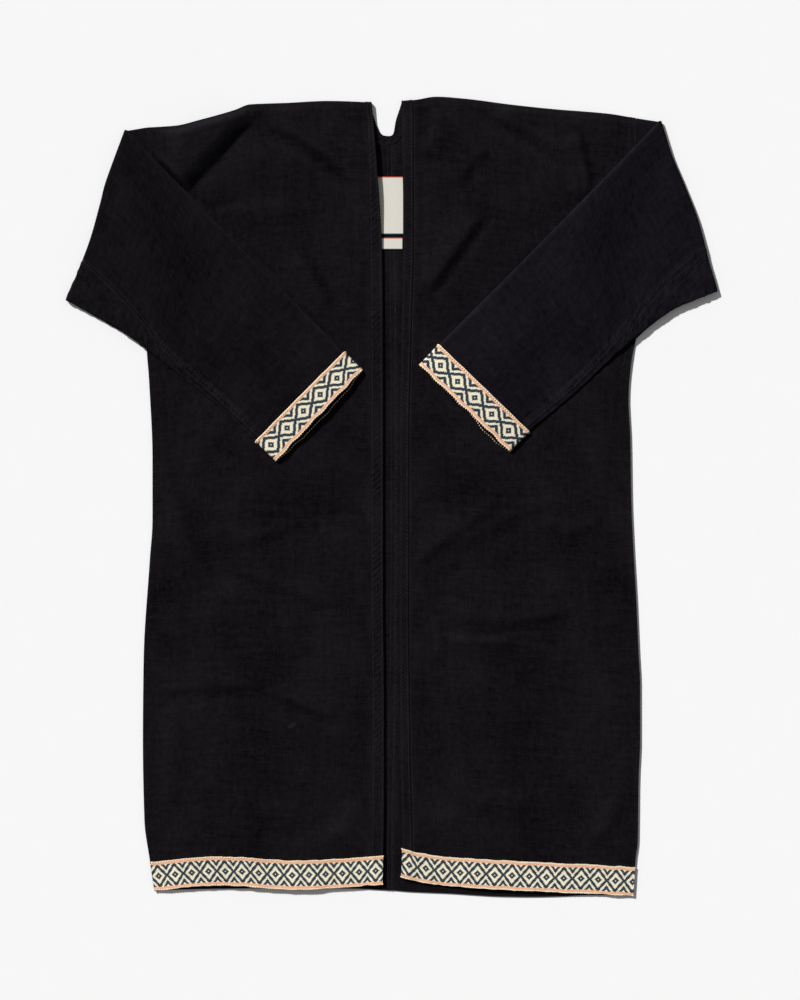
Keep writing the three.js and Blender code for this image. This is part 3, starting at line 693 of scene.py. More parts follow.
TEAL = (0.022, 0.040, 0.058, 1)
CREAM = (0.85, 0.765, 0.575, 1)
CORAL = (0.82, 0.40, 0.235, 1)
PALE = (0.92, 0.79, 0.58, 1)
SELVEDGE = 4.4
SELVEDGE_TWIST = 2.6

# A ribbon's weave: one diamond's pitch and how many picks make it, the height of the patterned
# field, and the size of the diamond's heart as a share of its lattice.
HEM_WEAVE = Record(width=RIBBON_WIDTH, pitch=22, picks=16, field=27.5, heart=0.378)
CUFF_WEAVE = Record(width=36.2, pitch=31, picks=22, field=25, heart=0.34)


def ribbon_look(nodes, weave):
    """A jacquard ribbon: a chain of teal diamonds on cream between coral selvedges. Its UV
    runs across the ribbon and then along it, in metres, with a diamond's middle at zero."""
    half, half_pitch = weave.width * MM / 2, weave.pitch * MM / 2
    pick_size = weave.pitch * MM / weave.picks
    uv, across, along = nodes.on_cloth()
    middle = across - half
    side = abs(middle)

    def in_picks(distance):
        return nodes.math("ROUND", distance / pick_size) * pick_size

    from_centre = nodes.math("PINGPONG", in_picks(along), half_pitch)
    ring = from_centre / half_pitch + abs(in_picks(middle)) / (weave.field * MM / 2)
    heart, lattice = nodes.inside(ring, 0.04, weave.heart), nodes.inside(ring, 0.74, 1.16)
    teal = heart + lattice + nodes.inside(ring, 1.44, 1.86)
    band = half - SELVEDGE * MM
    edge = nodes.between(side, band - 0.2 * MM, band + 0.2 * MM)
    rim = nodes.between(side, half - 1.6 * MM, half - 1.0 * MM)
    turns = (along + side * 1.4) * (2 * math.pi / (SELVEDGE_TWIST * MM))
    twist = nodes.math("SINE", turns)
    fibre = nodes.noise(uv, (520, 520, 1), detail=3)
    streak = nodes.noise(uv, (1400, 160, 1), detail=1)
    shade = 0.55 * (fibre + streak) + 0.45
    corded = nodes.blend(nodes.between(twist, 0.0, 0.9) * 0.5, CORAL, PALE)
    colour = nodes.blend(edge, nodes.blend(teal, CREAM, TEAL), nodes.blend(rim, corded, PALE))
    grey = nodes.value("ShaderNodeCombineColor", {0: shade, 1: shade, 2: shade})
    picked, rowed = (abs(nodes.math("SINE", way * (math.pi / pick_size))) for way in (along, middle))
    height = picked * rowed + 0.7 * teal + edge * twist * 0.7 + 0.4 * fibre
    tone = nodes.blend(0.6, colour, grey, "MULTIPLY")
    return tone, 0.2 * fibre + 0.68, 0.15, height, 0.7, 0.35


IVORY = (0.72, 0.69, 0.62, 1)
IVORY_SHADE = (0.60, 0.57, 0.50, 1)
CORAL_THREAD = (0.60, 0.075, 0.035, 1)
TEAL_THREAD = (0.010, 0.050, 0.065, 1)
LINE_STARTS = 1.1 * MM
LINE_ENDS = 1.4 * MM


def label_look(nodes, height):
    """Woven ivory satin, with a line of coral thread at its top and of teal at its foot."""
    uv, _, up = nodes.on_cloth()
    weave = nodes.noise(uv, (1900, 480, 1))
    top_line = nodes.between(up, height * MM - LINE_ENDS, height * MM - LINE_STARTS)
    foot_line = 1 - nodes.between(up, LINE_STARTS, LINE_ENDS)
    cloth = nodes.blend(foot_line, nodes.blend(weave, IVORY, IVORY_SHADE), TEAL_THREAD)
    tone = nodes.blend(top_line, cloth, CORAL_THREAD)
    return tone, 0.2 * weave + 0.55, 0.3, weave, 0.4, 0.15


def thread_look(nodes, colour, pale):
    """Twisted sewing thread."""
    fibre = nodes.noise(nodes.in_object(), (2600, 2600, 2600), detail=1)
    return nodes.blend(fibre, colour, pale), 0.2 * fibre + 0.6, 0.3


def paper_look(nodes):
    """The plain sheet that the jacket lies on."""
    grain = nodes.noise(nodes.in_object(), (30, 30, 30), detail=3)
    return nodes.blend(grain, (0.86, 0.86, 0.86, 1), (0.88, 0.88, 0.88, 1)), 1.0, 0.0


# Each dye bath gives its own black, which painted shade in crease valleys also pulls toward,
# and its own paler tone where the cloth is rubbed and where painted highlight lies on crests.
BODY_DYE = (0.0021, 0.0016, 0.0023, 1), (0.0142, 0.0120, 0.0150, 1)
DEEP_DYE = (0.0018, 0.0014, 0.0020, 1), (0.0126, 0.0107, 0.0133, 1)
COOL_DYE = (0.0021, 0.00165, 0.0026, 1), (0.0141, 0.0121, 0.0164, 1)
BLACK_DYE = (0.009, 0.008, 0.0095, 1), (0.025, 0.0225, 0.026, 1)
CREAM_DYE = (0.80, 0.50, 0.31, 1), (0.93, 0.76, 0.53, 1)

COTTON = finish("washed_cotton", cotton_look, *BODY_DYE)
SLEEVE_COTTON = {
    "right": finish("washed_cotton_deep", cotton_look, *DEEP_DYE),
    "left": finish("washed_cotton_cool", cotton_look, *COOL_DYE),
}
HEM_RIBBON = finish("hem_ribbon_weave", ribbon_look, HEM_WEAVE)
CUFF_RIBBON = finish("cuff_ribbon_weave", ribbon_look, CUFF_WEAVE)
MAIN_WOVEN = finish("label_satin", label_look, MAIN_LABEL.height)
SIZE_WOVEN = finish("size_label_satin", label_look, SIZE_LABEL.height)
BLACK_THREAD = finish("black_thread", thread_look, *BLACK_DYE)
CREAM_THREAD = finish("cream_thread", thread_look, *CREAM_DYE)

# ---- Camera, light and floor ----

VIEW_CENTRE = (11.05, 1.95)
VIEW_HEIGHT = 1300
CAMERA_HEIGHT = 3.6
SENSOR = 36
SKY = {"Color": (0.99, 0.995, 1, 1), "Strength": 0.22}
SUN_STRENGTH = 4.5
SUN_WIDTH = 4
SUN_WAY = (0.66, -0.72, -0.72)
FLOOR_SIZE = 12
FLOOR_DROP = 0.5


def studio():
    """The camera straight above, a soft sky, a window's sun and the floor."""
    scene = bpy.context.scene
    lens = bpy.data.cameras.new("camera")
    lens.sensor_width = SENSOR
    lens.lens = SENSOR * CAMERA_HEIGHT / (VIEW_HEIGHT * MM)
    scene.camera = put("camera", lens)
    scene.camera.location = np.append(np.array(VIEW_CENTRE) * MM, CAMERA_HEIGHT) + ORIGIN

    scene.world = bpy.data.worlds.new("studio")
    scene.world.use_nodes = True
    for name, value in SKY.items():
        scene.world.node_tree.nodes["Background"].inputs[name].default_value = value

    sun = bpy.data.lights.new("window", "SUN")
    sun.energy = SUN_STRENGTH
    sun.angle = math.radians(SUN_WIDTH)
    put("window", sun).rotation_euler = Vector(SUN_WAY).to_track_quat("-Z", "Y").to_euler()

    bpy.ops.mesh.primitive_plane_add(size=FLOOR_SIZE, location=(0, 0, -FLOOR_DROP * MM))
    floor = bpy.context.object
    floor.name = "floor"
    floor.data.materials.append(finish("paper", paper_look))
    scene.view_settings.view_transform = "Standard"


studio()

# ---- The front's height, and the turn of the cloth over the shoulder ----

for side in SIDES:
    side.edge_at, side.seam_at = (curve(side.band, "y", name) for name in ("edge", "seam"))


def points(side, out, y, z):
    out, y, z = np.broadcast_arrays(out, y, z)
    return np.stack([side.sign * out, y, z], axis=-1)


def outside_sleeve(side, out, y):
    """How far a place lies outside the folded sleeve, below zero under it."""
    tops, lows = (
        list(zip(side.rings[edge + "_out"], side.rings[edge + "_y"])) for edge in ("top", "low")
    )
    corners = [side.fold_top, tops[-1], lows[-1], lows[2], side.fold_low]
    furthest = np.full(np.broadcast(out, y).shape, -np.inf)
    for (out1, y1), (out2, y2) in zip(corners, corners[1:]):
        beyond = (y2 - y1) * (out - out1) - (out2 - out1) * (y - y1)
        furthest = np.maximum(furthest, beyond / math.hypot(out2 - out1, y2 - y1))
    return furthest


def front_lift(side, out, y):
    """How far the front stands above the lowest that it can lie, close on the back."""
    rolled = smooth((side.outline_at(y) - out) / SIDE_ROLL)
    loft = mix(HEM_LOFT, LOFT, fade(y, side.front_hem_at(out), HEM_FADE))
    below_shoulder = smooth((side.shoulder_at(out) - y) / SHOULDER_FADE)
    clear = fade(outside_sleeve(side, out, y), SLEEVE_CLEAR, SLEEVE_FADE)
    free = below_shoulder * clear * fade(out, side.seam_at(y), EDGE_FADE)
    collar = fade(y, COLLAR.foot, COLLAR.climb) * smooth((COLLAR.top - y) / COLLAR.fall)
    from_edge = np.maximum(out - side.edge_at(y), 0)
    stand = side.neck_stand * collar * ridge(from_edge, 0, COLLAR.spread)
    folds = CREASE_GAIN * crease_height(side.creases, side.sign * out, y)
    relief = washed(out * side.sign, y, 3) * mix(COVERED_RELIEF, 1, free) * below_shoulder
    return np.minimum(rolled * (loft + free * folds + stand + relief), MOST_LIFT)


def front_underside(side, out, y):
    """The height of a front's underside over the floor."""
    return CLOTH + GAP + front_lift(side, out, y)


def turn_radius(out):
    return (CLOTH + GAP + LOFT * smooth((ARMHOLE_OUT - out) / SIDE_ROLL)) / 2


def turn_start(side, out):
    return side.shoulder_at(out) - CLOTH / 2 - turn_radius(out)


def turn_points(side, out, thickness):
    """A wall's middle on its way over the shoulder, a row at each step of the turn."""
    radius = turn_radius(out)
    y = turn_start(side, out) + radius * np.cos(TURN_ANGLES)
    return points(side, out, y, thickness / 2 + radius * (1 + np.sin(TURN_ANGLES)))


def half_turn(count):
    return mix(-math.pi / 2, math.pi / 2, steps(count))


def rows_down(on_cloth, on_ribbon):
    """Rows down a front below the turn: 1 at the ribbon's top and 2 at the hem."""
    return join([steps(on_cloth), 1 + steps(on_ribbon)[1:]])[1:, None]


def front_y(side, out, down):
    """The place on the table of a row down a front, counted as in rows_down."""
    ribbon_top = side.front_hem_at(out) + RIBBON_WIDTH
    on_cloth = mix(turn_start(side, out), ribbon_top, np.minimum(down, 1))
    return on_cloth - RIBBON_WIDTH * np.maximum(down - 1, 0)


def band_at(side, down):
    """The band's free edge and its seam on a row of the front."""
    y = front_y(side, side.edge_at(0), down)
    return side.edge_at(y), side.seam_at(y)


TURN_ANGLES = half_turn(TURN_STEPS)[:, None]

# ---- The two body lengths ----

centre_seam_at = curve(CENTRE_SEAM, "y", "x")


def back_neck_moved(distance):
    """The back neck edge moved out into the cloth, as points along it."""
    at = np.arange(len(BACK_NECK["x"]), dtype=float)
    fine = mix(0, at[-1], steps(NECK_POINTS))
    x, y = (curve({"at": at, **BACK_NECK}, "at", way)(fine) for way in ("x", "y"))
    dx, dy = np.gradient(x), np.gradient(y)
    length = np.hypot(dx, dy)
    return x + dy / length * distance, y - dx / length * distance


def back_inner_edge(side):
    """The inner edge of a back, up its centre seam and then round the neck, with the share
    of the way up the side that each point is level with."""
    x, y = back_neck_moved(BACK_BAND_WIDTH + GAP)
    seam_top = CENTRE_SEAM["x"][-1]
    on_side = (x - seam_top) * side.sign > GAP / 2
    round_out, round_y = side.sign * x[on_side][:: side.sign], y[on_side][:: side.sign]
    share = steps(BACK_ROWS)
    up = mix(side.back_hem_at(0), np.interp(seam_top, x, y), share)
    out = join([GAP / 2 + side.sign * centre_seam_at(up), round_out])
    round_share = np.arange(1, len(round_y) + 1) / (len(round_y) + 1)
    share = join([NECK_SHARE * share, mix(NECK_SHARE, 1, round_share)])
    return out[:, None], join([up, round_y])[:, None], share[:, None]


def body(side):
    """One length of cloth, from its back hem over the shoulder to its front hem."""
    s = edged(BODY_COLUMNS, 0.006)[None, :]
    inner_out, inner_y, share = back_inner_edge(side)
    outer_y = mix(side.back_hem_at(ARMHOLE_OUT), turn_start(side, ARMHOLE_OUT), share)
    outer = side.outline_at(outer_y)
    out = mix(inner_out, outer, s)

    def bulge(edge):
        return edge(out) - mix(edge(inner_out), edge(outer), s)

    top = bulge(lambda x: turn_start(side, x))
    y = mix(inner_y, outer_y, s) + mix(bulge(side.back_hem_at), top, share)
    back = points(side, out, y, CLOTH / 2)

    inner = mix(side.neck_corner[1], band_at(side, 0)[1], steps(TURN_STEPS))[:, None] + GAP
    turn = turn_points(side, mix(inner, ARMHOLE_OUT, s), CLOTH)

    down = rows_down(FRONT_ROWS, RIBBON_ROWS)
    outer = side.outline_at(front_y(side, ARMHOLE_OUT, down))
    out = mix(band_at(side, down)[1] + GAP, outer, s)
    y = front_y(side, out, down)
    front = points(side, out, y, front_underside(side, out, y) + CLOTH / 2)

    grid = join([back, turn, front])
    first = len(back) + len(turn)
    in_from_seam, up_from_hem = laid_out_mm(grid)
    in_from_side = in_from_seam[:, -1:] - in_from_seam
    wander = 1.5 * soft_noise(up_from_hem, in_from_seam, 24, 9)
    pucker = waves(up_from_hem, FELL_PITCH, wander)
    on_back = (np.arange(len(grid)) < len(back))[:, None]
    fell = on_back * bump_between(in_from_seam, *SEAM_FELL)
    armhole = grid[..., 1] > side.underarm_y
    fell = np.maximum(fell, armhole * bump_between(in_from_side, *ARMHOLE_FELL))
    hem = bump_between(up_from_hem, -1, HEM_FOLD)
    raised = FELL_HEIGHT * np.maximum(fell, hem) * (1 + 0.5 * pucker)
    edge = np.minimum(in_from_seam, in_from_side)
    rubbed = 0.4 * np.exp(-edge / RUB_WIDTH) + 0.06 * fell * (1 + 2 * pucker) + 0.15 * hem
    rubbed[first - TURN_STEPS : first + 2] += 0.35
    # Crests of the front's creases are paler as rubbed wear and painted highlight, their valleys
    # darker as painted shade.
    rubbed[first:] += crest_wear_and_valley_shade(grid[first:, :, 2], grid[first:])
    made = shell(f"body_cloth_{side.name}", grid, CLOTH, COTTON, raised, rubbed)
    front_rows = made.top[first - 4 : -RIBBON_ROWS - 1]
    made.rows = [
        *(inset(made.top[: len(back)], distance) for distance in SEAM_FELL),
        *(inset(made.top.transpose(1, 0, 2), distance) for distance in HEM_STITCHES),
        inset(front_rows, FRONT_STITCH),
        *(inset(front_rows[:ARMHOLE_ROWS], distance, True) for distance in ARMHOLE_FELL),
    ]
    return made


# ---- The band up the fronts and round the back neck ----

BAND_COLUMNS = edged(11, 0.05)[None, :]


def side_band(side):
    """The band of one side from its front hem up and over the shoulder."""
    down = rows_down(BAND_ROWS, BAND_HEM_ROWS)
    out = mix(*band_at(side, down), BAND_COLUMNS)
    y = front_y(side, out, down)
    front = points(side, out, y, front_underside(side, out, y) + BAND_WALL / 2)
    edge, seam = band_at(side, 0)
    t = steps(TURN_STEPS)[:, None]
    start, end = mix(side.neck_corner[0], edge, t), mix(side.neck_corner[1], seam, t)
    turn = turn_points(side, mix(start, end, BAND_COLUMNS), BAND_WALL)
    return join([front[::-1], turn[::-1]])


def band():
    """The doubled band, with the slanting ropes that washing draws into it."""
    edge, seam = back_neck_moved(0), back_neck_moved(BACK_BAND_WIDTH)
    x, y = (mix(a[:, None], b[:, None], BAND_COLUMNS) for a, b in zip(edge, seam))
    neck = np.stack([x, y, np.full_like(x, BAND_WALL / 2)], axis=-1)
    grid = join([side_band(RIGHT), neck, side_band(LEFT)[::-1]])
    across, along = laid_out_mm(grid)
    width = across[:, -1:]
    on_left = fade(grid[..., 0], 4, 4)
    wander = 1.3 * soft_noise(along, across, 34, 5)
    rope = sum(
        share * waves(along + across * side.rope_lean, side.rope_pitch, wander)
        for side, share in ((RIGHT, 1 - on_left), (LEFT, on_left))
    )
    inside = smooth(across / 2.6) * smooth((width - across) / 2.6)
    strength = np.clip(0.55 + 0.75 * soft_noise(along, 0, 38, 8), 0.08, 1.2)
    rim = ridge(across, 1.1, 0.9) + ridge(width - across, 1.3, 0.8)
    rope = inside * strength * rope
    raised, rubbed = ROPE_HEIGHT * rope + 0.3 * rim, 0.15 + 0.3 * rim + 0.4 * rope
    made = shell("band_cloth", grid, BAND_WALL, COTTON, raised, rubbed)
    made.rows = [inset(made.top, BAND_STITCHES[0]), inset(made.top, BAND_STITCHES[1], True)]
    return made


# ---- The sleeves ----


def sleeve_rings(side):
    """The flattened sleeve's rings: their two edges, the way the back face looks, how far
    the seam or gusset reaches from the lower edge, and the place along the table."""
    ahead, aside = np.subtract(side.fold_low, side.fold_top) / math.dist(side.fold_low, side.fold_top)
    back, half, armhole = LOWER_LEVEL + FOLD_RADIUS, CLOTH / 2, ARMHOLE_OUT + GAP
    ends = [
        (out + aside * back + inwards * ahead, y - ahead * back + inwards * aside)
        for (out, y), inwards in ((side.fold_top, half), (side.fold_low, -half))
    ]

    t = steps(LOWER_LEG_STEPS)
    starts = (side.shoulder_at(armhole) - half, 0), (side.underarm_y + half, side.underarm_bow)
    lower = [
        points(side, mix(armhole, out, t), mix(start, y, t) + bow * 4 * t * (1 - t), LOWER_LEVEL)
        for (out, y), (start, bow) in zip(ends, starts)
    ]
    seam = mix(side.armhole_seam, side.fold_seam, t)
    lower += [np.tile([0.0, 0, -1], (len(t), 1)), seam, np.zeros_like(t), t]

    angle = half_turn(FOLD_STEPS)[1:]
    turn, z = np.cos(angle), LOWER_LEVEL + FOLD_RADIUS * (1 + np.sin(angle))
    reach = FOLD_RADIUS * turn
    fold = [points(side, out - aside * reach, y + ahead * reach, z) for out, y in ends]
    fold += [
        points(side, -aside * turn, ahead * turn, np.sin(angle)),
        np.full_like(turn, side.fold_seam), np.zeros_like(turn), np.ones_like(turn),
    ]

    first = zip(side.rings.items(), (*ends[0], *ends[1], side.fold_seam))
    rows = {key: np.insert(column, 0, value) for (key, column), value in first}
    last = len(side.rings["seam"])
    at = steps(last * RING_STEPS)[1:] * last
    numbered = {"at": np.arange(last + 1.0), **rows}
    read = {key: curve(numbered, "at", key)(at) for key in rows}
    z = UPPER_LEVEL + CUFF_RISE * fade(at, *RISE_RUN)
    upper = [points(side, read[edge + "_out"], read[edge + "_y"], z) for edge in ("top", "low")]
    seam = np.where(read["seam"] < LEAST_SEAM, 0, read["seam"])
    upper += [np.tile([0.0, 0, 1], (len(at), 1)), seam, at, 1 - smooth(at)]
    top, low, face, seam, at, bowed = (join(part) for part in zip(lower, fold, upper))
    way = top[-1] - top[-2]
    return Record(
        top=top, low=low, face=face, seam=seam, at=at,
        outward=points(side, -aside, ahead, 0) * bowed[:, None],
        ahead=np.broadcast_to(way / norm(way), top.shape),
    )


def ring_points(side, rings, distance, on_back):
    """Points of all rings, at distances up from the lower edge, on the back or front face."""
    climb = rings.top - rings.low
    width = norm(climb, axis=1)[:, None]
    share = distance / width
    spot = rings.low[:, None] + climb[:, None] * share[..., None]
    spot = spot + rings.outward[:, None] * side.fold_bow_at(share)[..., None]
    edge = np.clip(np.minimum(distance, width - distance) / LAYER_HALF, 0, 1)
    bend = np.sqrt(1 - (1 - edge) ** 2)
    at, face = rings.at[:, None], rings.face[:, None]
    wave = np.sin(distance / 6.2 + at) + 0.6 * np.sin(distance / 3.6 + 2 + on_back)
    wave = CUFF_WAVE * wave * fade(at, *WAVE_RUN) * smooth(edge)
    spot = spot + rings.ahead[:, None] * wave[..., None]
    if not on_back:
        lap = side.lap_at(share) * fade(at, *LAP_RUN)
        across = np.abs(climb[:, :2]) / norm(climb[:, :2], axis=1, keepdims=True)
        spot[..., 0] -= side.sign * across[:, 1:] * lap
        spot[..., 1] -= across[:, :1] * lap
        return spot - face * (LAYER_HALF * bend)[..., None]
    bulge = mix(SLEEVE_BULGE, CUFF_BULGE, fade(at, *BULGE_RUN)) * smooth(at / 1.2)
    folds = crease_height(side.sleeve_creases, spot[..., 0], spot[..., 1])
    relief = washed(spot[..., 0], spot[..., 1], 11) * 0.8 * smooth(edge)
    arch = np.sin(math.pi * np.clip(share, 0, 1)) ** 0.8
    high = LAYER_HALF * bend + (bulge + (folds + relief) * smooth(at * 2)) * arch
    return spot + face * high[..., None]


def round_steps(count):
    """Distances that carry a flat tube's wall round its edge."""
    return LAYER_HALF * (1 - np.cos(mix(0, math.pi / 2, steps(count))))[:-1]


# The columns lie closer together along the felled seam.
SLEEVE_SHARES = join([0.34 * steps(38), 0.34 + 0.66 * steps(22)[1:]])[None, :]


def sleeve(side, rings):
    """The sleeve's tube, open along its lower edge as far as the gusset reaches."""
    width = norm(rings.top - rings.low, axis=1)[:, None]
    start = rings.seam[:, None]
    rim = round_steps(EDGE_STEPS)[None, :]
    flat = mix(start + LAYER_HALF, width - LAYER_HALF, SLEEVE_SHARES)
    up = join([start + rim, flat, width - rim[:, ::-1]], axis=1)
    back = ring_points(side, rings, up, True)
    grid = join([back, ring_points(side, rings, up[:, -2::-1], False)], axis=1)
    closed = int(np.argmax(rings.seam == 0))
    facing = np.sign(grid_normals(grid, closed)[-3, up.shape[1] // 2, 2])

    seam_at = line("at seam", (0, side.fold_seam), *SEAM_ROWS)
    seam = np.maximum(seam_at(rings.at), rings.seam)[:, None]
    fell = bump_between(seam - up, -0.4, SLEEVE_FELL + 0.4) * (start < 20)
    drawn = bump_between(seam + 5 - up, 0, 24) * (start < 30)
    middle = grid[:, up.shape[1] // 3]
    along = np.cumsum(norm(np.diff(middle, axis=0, prepend=middle[:1]), axis=1))
    along = along[:, None]
    wander = 1.5 * soft_noise(along, up, 20, 21) + (seam - up) * 0.3
    pucker = waves(along, SLEEVE_FELL_PITCH, wander)
    pebble = PEBBLE * drawn * soft_noise(along, up, PEBBLE_SIZE, 35)
    raised = SLEEVE_FELL_HEIGHT * fell * (1 + 0.9 * pucker) + pebble
    edge = np.minimum(up, width - up)
    rubbed = side.rubbed_fold * np.exp(-edge / RUB_WIDTH) + 0.4 * fell * (0.7 + 1.2 * pucker)
    # The sleeve's creases too: crests paler as wear and painted highlight, valleys darker as painted
    # shade.
    rubbed = rubbed + pebble + np.where(rings.at[:, None] > 0, crest_wear_and_valley_shade(back[..., 2], back), 0)
    raised = np.hstack([raised, np.zeros((len(grid), up.shape[1] - 1))])
    rubbed = np.hstack([rubbed, rubbed[:, -2::-1]])
    name, dyed = f"sleeve_cloth_{side.name}", SLEEVE_COTTON[side.name]
    made = shell(name, grid, CLOTH, dyed, raised, rubbed, closed, facing)
    upper_leg = LOWER_LEG_STEPS + FOLD_STEPS + 1 + int(2.5 * RING_STEPS)
    starts = LOWER_LEG_STEPS + FOLD_STEPS // 2 + 2, upper_leg, upper_leg
    made.rows = []
    for start, distance in zip(starts, SLEEVE_STITCHES):
        shown = slice(start, -RING_STEPS - 1)
        face = made.top[shown, : up.shape[1]]
        made.rows.append(pick(face, up[shown], seam[shown, 0] + distance))
    made.grid, made.facing = grid, facing
    return made


def gusset(side, rings):
    """The gusset, quilted by its rows of stitching, in the sleeve's open lower edge."""
    open_rows = rings.seam > 0
    part = Record(**{key: value[open_rows] for key, value in vars(rings).items()})
    reach = (part.seam - GAP)[:, None]
    rim = np.broadcast_to(round_steps(EDGE_STEPS), (len(reach), EDGE_STEPS))
    up = join([rim, mix(LAYER_HALF, reach, edged(14, 0.03)[None, :])], axis=1)
    back = ring_points(side, part, up[:, :0:-1], True)
    grid = join([back, ring_points(side, part, up, False)], axis=1)
    facing = np.sign(grid_normals(grid, len(grid))[-3, 6, 2])
    across, along = laid_out_mm(grid)
    quilt = waves(along, QUILT_PITCHES[1], 2 * soft_noise(across, along, 18, 33))
    quilt = 0.4 * quilt * waves(across, QUILT_PITCHES[0], 0.6)
    quilt = quilt + 1.3 * soft_noise(across, along, PEBBLE_SIZE, 34)
    raised = QUILT_HEIGHT * quilt * smooth(across / 4)
    rubbed = 0.05 + 0.3 * quilt + 0.3 * np.exp(-across / 2)
    name, dyed = f"gusset_cloth_{side.name}", SLEEVE_COTTON[side.name]
    made = shell(name, grid, CLOTH, dyed, raised, rubbed, facing=facing)
    shown = slice(LOWER_LEG_STEPS + FOLD_STEPS // 2 + 2, None)
    top, reach = made.top[shown], reach[shown, 0]
    made.rows = [inset(top[reach > distance + 4], distance) for distance in side.gusset_rows]
    return made


# ---- Ribbons and labels ----


def hem_ribbon(side):
    """The ribbon on a front hem, from the band's free edge to the side."""
    down = 1 + edged(RIBBON_ACROSS, 0.02)[:, None]
    edge, seam = band_at(side, down)
    outer = side.outline_at(front_y(side, ARMHOLE_OUT, down))
    out = mix(edge, outer, edged(RIBBON_ALONG, 0.002)[None, :])
    y = front_y(side, out, down)
    under = mix(CLOTH, BAND_WALL, 1 - fade(out, seam - 0.5, 1.5)) + GAP + RIBBON_WALL / 2
    z = front_underside(side, out, y) + under + 0.25 * soft_noise(out, y, 16, 12)
    y = y + 0.55 * soft_noise(out, y, 11, 40) + 0.3 * soft_noise(out, y, 4.5, 41)
    grid = points(side, out, y, z).transpose(1, 0, 2)
    across = (down.T - 1) * RIBBON_WIDTH
    raised = 0.35 * ridge(np.minimum(across, RIBBON_WIDTH - across), CORD_IN, CORD_SPREAD)
    chart = laid_out(grid)
    start, pitch = side.ribbon_phase
    chart[..., 1] = (chart[..., 1] - start * MM) * (HEM_WEAVE.pitch / pitch)
    name = f"hem_ribbon_woven_{side.name}"
    made = shell(name, grid, RIBBON_WALL, HEM_RIBBON, raised, chart=chart)
    made.rows = [inset(made.top, RIBBON_STITCH, last) for last in (False, True)]
    return made


def cuff_ribbon(side, cloth):
    """The ribbon round a cuff, moved out from the sleeve's own points."""
    cuff = cloth.grid[-RING_STEPS - 1 :]
    square = grid_normals(cuff, 0) * cloth.facing
    outer = cuff + square * (CLOTH / 2 + GAP + RIBBON_WALL / 2)
    chart, width = laid_out(outer), CUFF_WEAVE.width * MM
    start, pitch = side.cuff_phase
    across = chart[..., 1] * (width / chart[-1, 0, 1])
    round_cuff = (chart[..., 0] - start * MM) * (CUFF_WEAVE.pitch / pitch)
    raised = 0.3 * ridge(np.minimum(across, width - across) / MM, CORD_IN, CORD_SPREAD)
    made = shell(
        f"cuff_ribbon_woven_{side.name}", outer, RIBBON_WALL, CUFF_RIBBON, raised,
        closed=0, facing=cloth.facing, chart=np.stack([across, round_cuff], axis=-1),
    )
    made.rows = [made.top[1], outer[-1]]
    return made


def label(name, spec, material):
    across, up = np.meshgrid(edged(16, 0.03), edged(22, 0.02))
    x = spec.x + (across - 0.5) * spec.width
    y = spec.y + (up - 0.5) * spec.height
    grid = np.stack([x, y, np.full_like(x, CLOTH + GAP + LABEL_WALL / 2)], axis=-1)
    return shell(name, grid, LABEL_WALL, material, raised=0.12 * soft_noise(x, y, 14, 4))


# ---- Sewing ----

STITCH_INPUTS = {
    "Rows": "Geometry", "Pitch": "Float", "Long": "Float", "Thick": "Float", "Seed": "Int",
    "Thread": "Material",
}


def stitch_tree():
    """Lays one small thread lump at each pitch along curves, a little uneven in length."""
    tree = bpy.data.node_groups.new("stitch_rows", "GeometryNodeTree")
    for name, kind in STITCH_INPUTS.items():
        tree.interface.new_socket(name, in_out="INPUT", socket_type="NodeSocket" + kind)
    tree.interface.new_socket("Stitches", in_out="OUTPUT", socket_type="NodeSocketGeometry")
    nodes = Nodes(tree)
    given = nodes.add("NodeGroupInput").outputs
    rows = {"Curve": given["Rows"], "Length": given["Pitch"]}
    spaced = nodes.add("GeometryNodeCurveToPoints", rows, mode="LENGTH").outputs
    lump = nodes.value("GeometryNodeMeshUVSphere", {"Segments": 6, "Rings": 3, "Radius": 0.5})
    random = {2: 0.8, 3: 1.12, "Seed": given["Seed"]}
    uneven = nodes.value("FunctionNodeRandomValue", random, output=1, data_type="FLOAT")
    long, thick = uneven * Wire(nodes, given["Long"]), given["Thick"]
    laid = {
        "Points": spaced["Points"], "Instance": lump, "Rotation": spaced["Rotation"],
        "Scale": nodes.value("ShaderNodeCombineXYZ", {0: thick, 1: thick, 2: long}),
    }
    laid = nodes.value("GeometryNodeInstanceOnPoints", laid)
    real = nodes.value("GeometryNodeRealizeInstances", {0: laid})
    dyed = {"Geometry": real, "Material": given["Thread"]}
    nodes.add("NodeGroupOutput", {0: nodes.value("GeometryNodeSetMaterial", dyed)})
    return tree


STITCHES = stitch_tree()


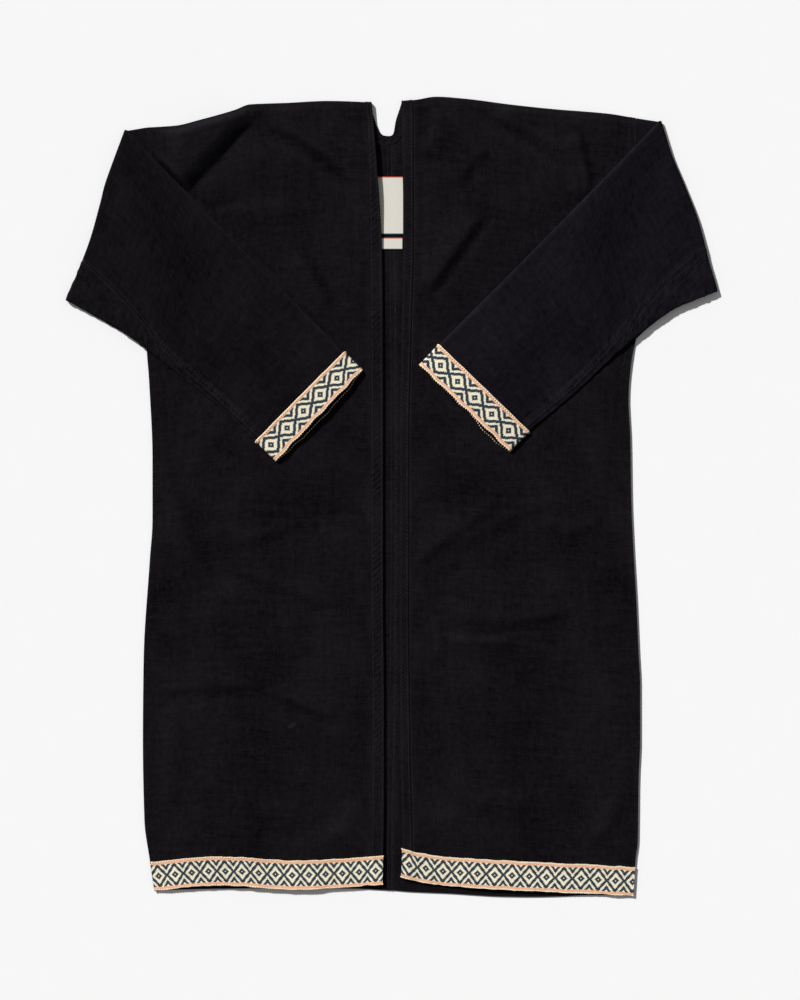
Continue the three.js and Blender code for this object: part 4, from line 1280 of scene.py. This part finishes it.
def sew(name, rows, **given):
    """Stitches along rows of points as one plain mesh object. Sizes are millimetres."""
    path = bpy.data.curves.new(name, "CURVE")
    path.dimensions = "3D"
    for row in rows:
        spline = path.splines.new("POLY")
        spline.points.add(len(row) - 1)
        placed = np.hstack([row * MM + ORIGIN, np.ones((len(row), 1))])
        spline.points.foreach_set("co", placed.astype(np.float32).ravel())
    guide = put(name + "_rows", path)
    modifier = guide.modifiers.new("stitches", "NODES")
    modifier.node_group = STITCHES
    for item in STITCHES.interface.items_tree:
        if item.name in given:
            value = given[item.name]
            modifier[item.identifier] = value * MM if isinstance(value, float) else value
    bpy.context.view_layer.update()
    graph = bpy.context.evaluated_depsgraph_get()
    mesh = bpy.data.meshes.new_from_object(guide.evaluated_get(graph), depsgraph=graph)
    mesh.shade_smooth()
    bpy.data.objects.remove(guide)
    return put(name, mesh)


COTTON_SEWING = {"Pitch": 3.1, "Long": 2.5, "Thick": 0.55, "Thread": BLACK_THREAD}
RIBBON_BEADS = {"Pitch": 3.5, "Long": 2.5, "Thick": 2.1, "Thread": CREAM_THREAD}
SEWING = {"cotton": COTTON_SEWING, "ribbon": RIBBON_BEADS}


def sewn(made, node, slot, seed=0):
    """A cloth piece stands in for its solid, which is hidden, and gets stitches if its slot is sewn.
    """
    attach(made.piece, "root")
    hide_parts(node)
    extra = []
    if slot in SEWING:
        extra = [sew(f"{node}_stitches", made.rows, Seed=seed, **SEWING[slot])]
        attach(extra[0], "root")
    return made.piece.name


for side in SIDES:
    name, rings = side.name, sleeve_rings(side)
    cloth, tube = body(side), sleeve(side, rings)
    body_name = sewn(cloth, f"body_{name}", "cotton", 1)
    sleeve_name = sewn(tube, f"sleeve_{name}", "cotton", 2)
    sewn(gusset(side, rings), f"gusset_{name}", "cotton", 3)
    sewn(cuff_ribbon(side, tube), f"cuff_ribbon_{name}", "ribbon", 4)
    sewn(hem_ribbon(side), f"hem_ribbon_{name}", "ribbon", 5)
sewn(band(), "front_band", "cotton", 6)
main = label("neck_label_woven", MAIN_LABEL, MAIN_WOVEN)
sewn(main, "neck_label", "label")
sized = label("size_label_woven", SIZE_LABEL, SIZE_WOVEN)
sewn(sized, "size_label", "label")
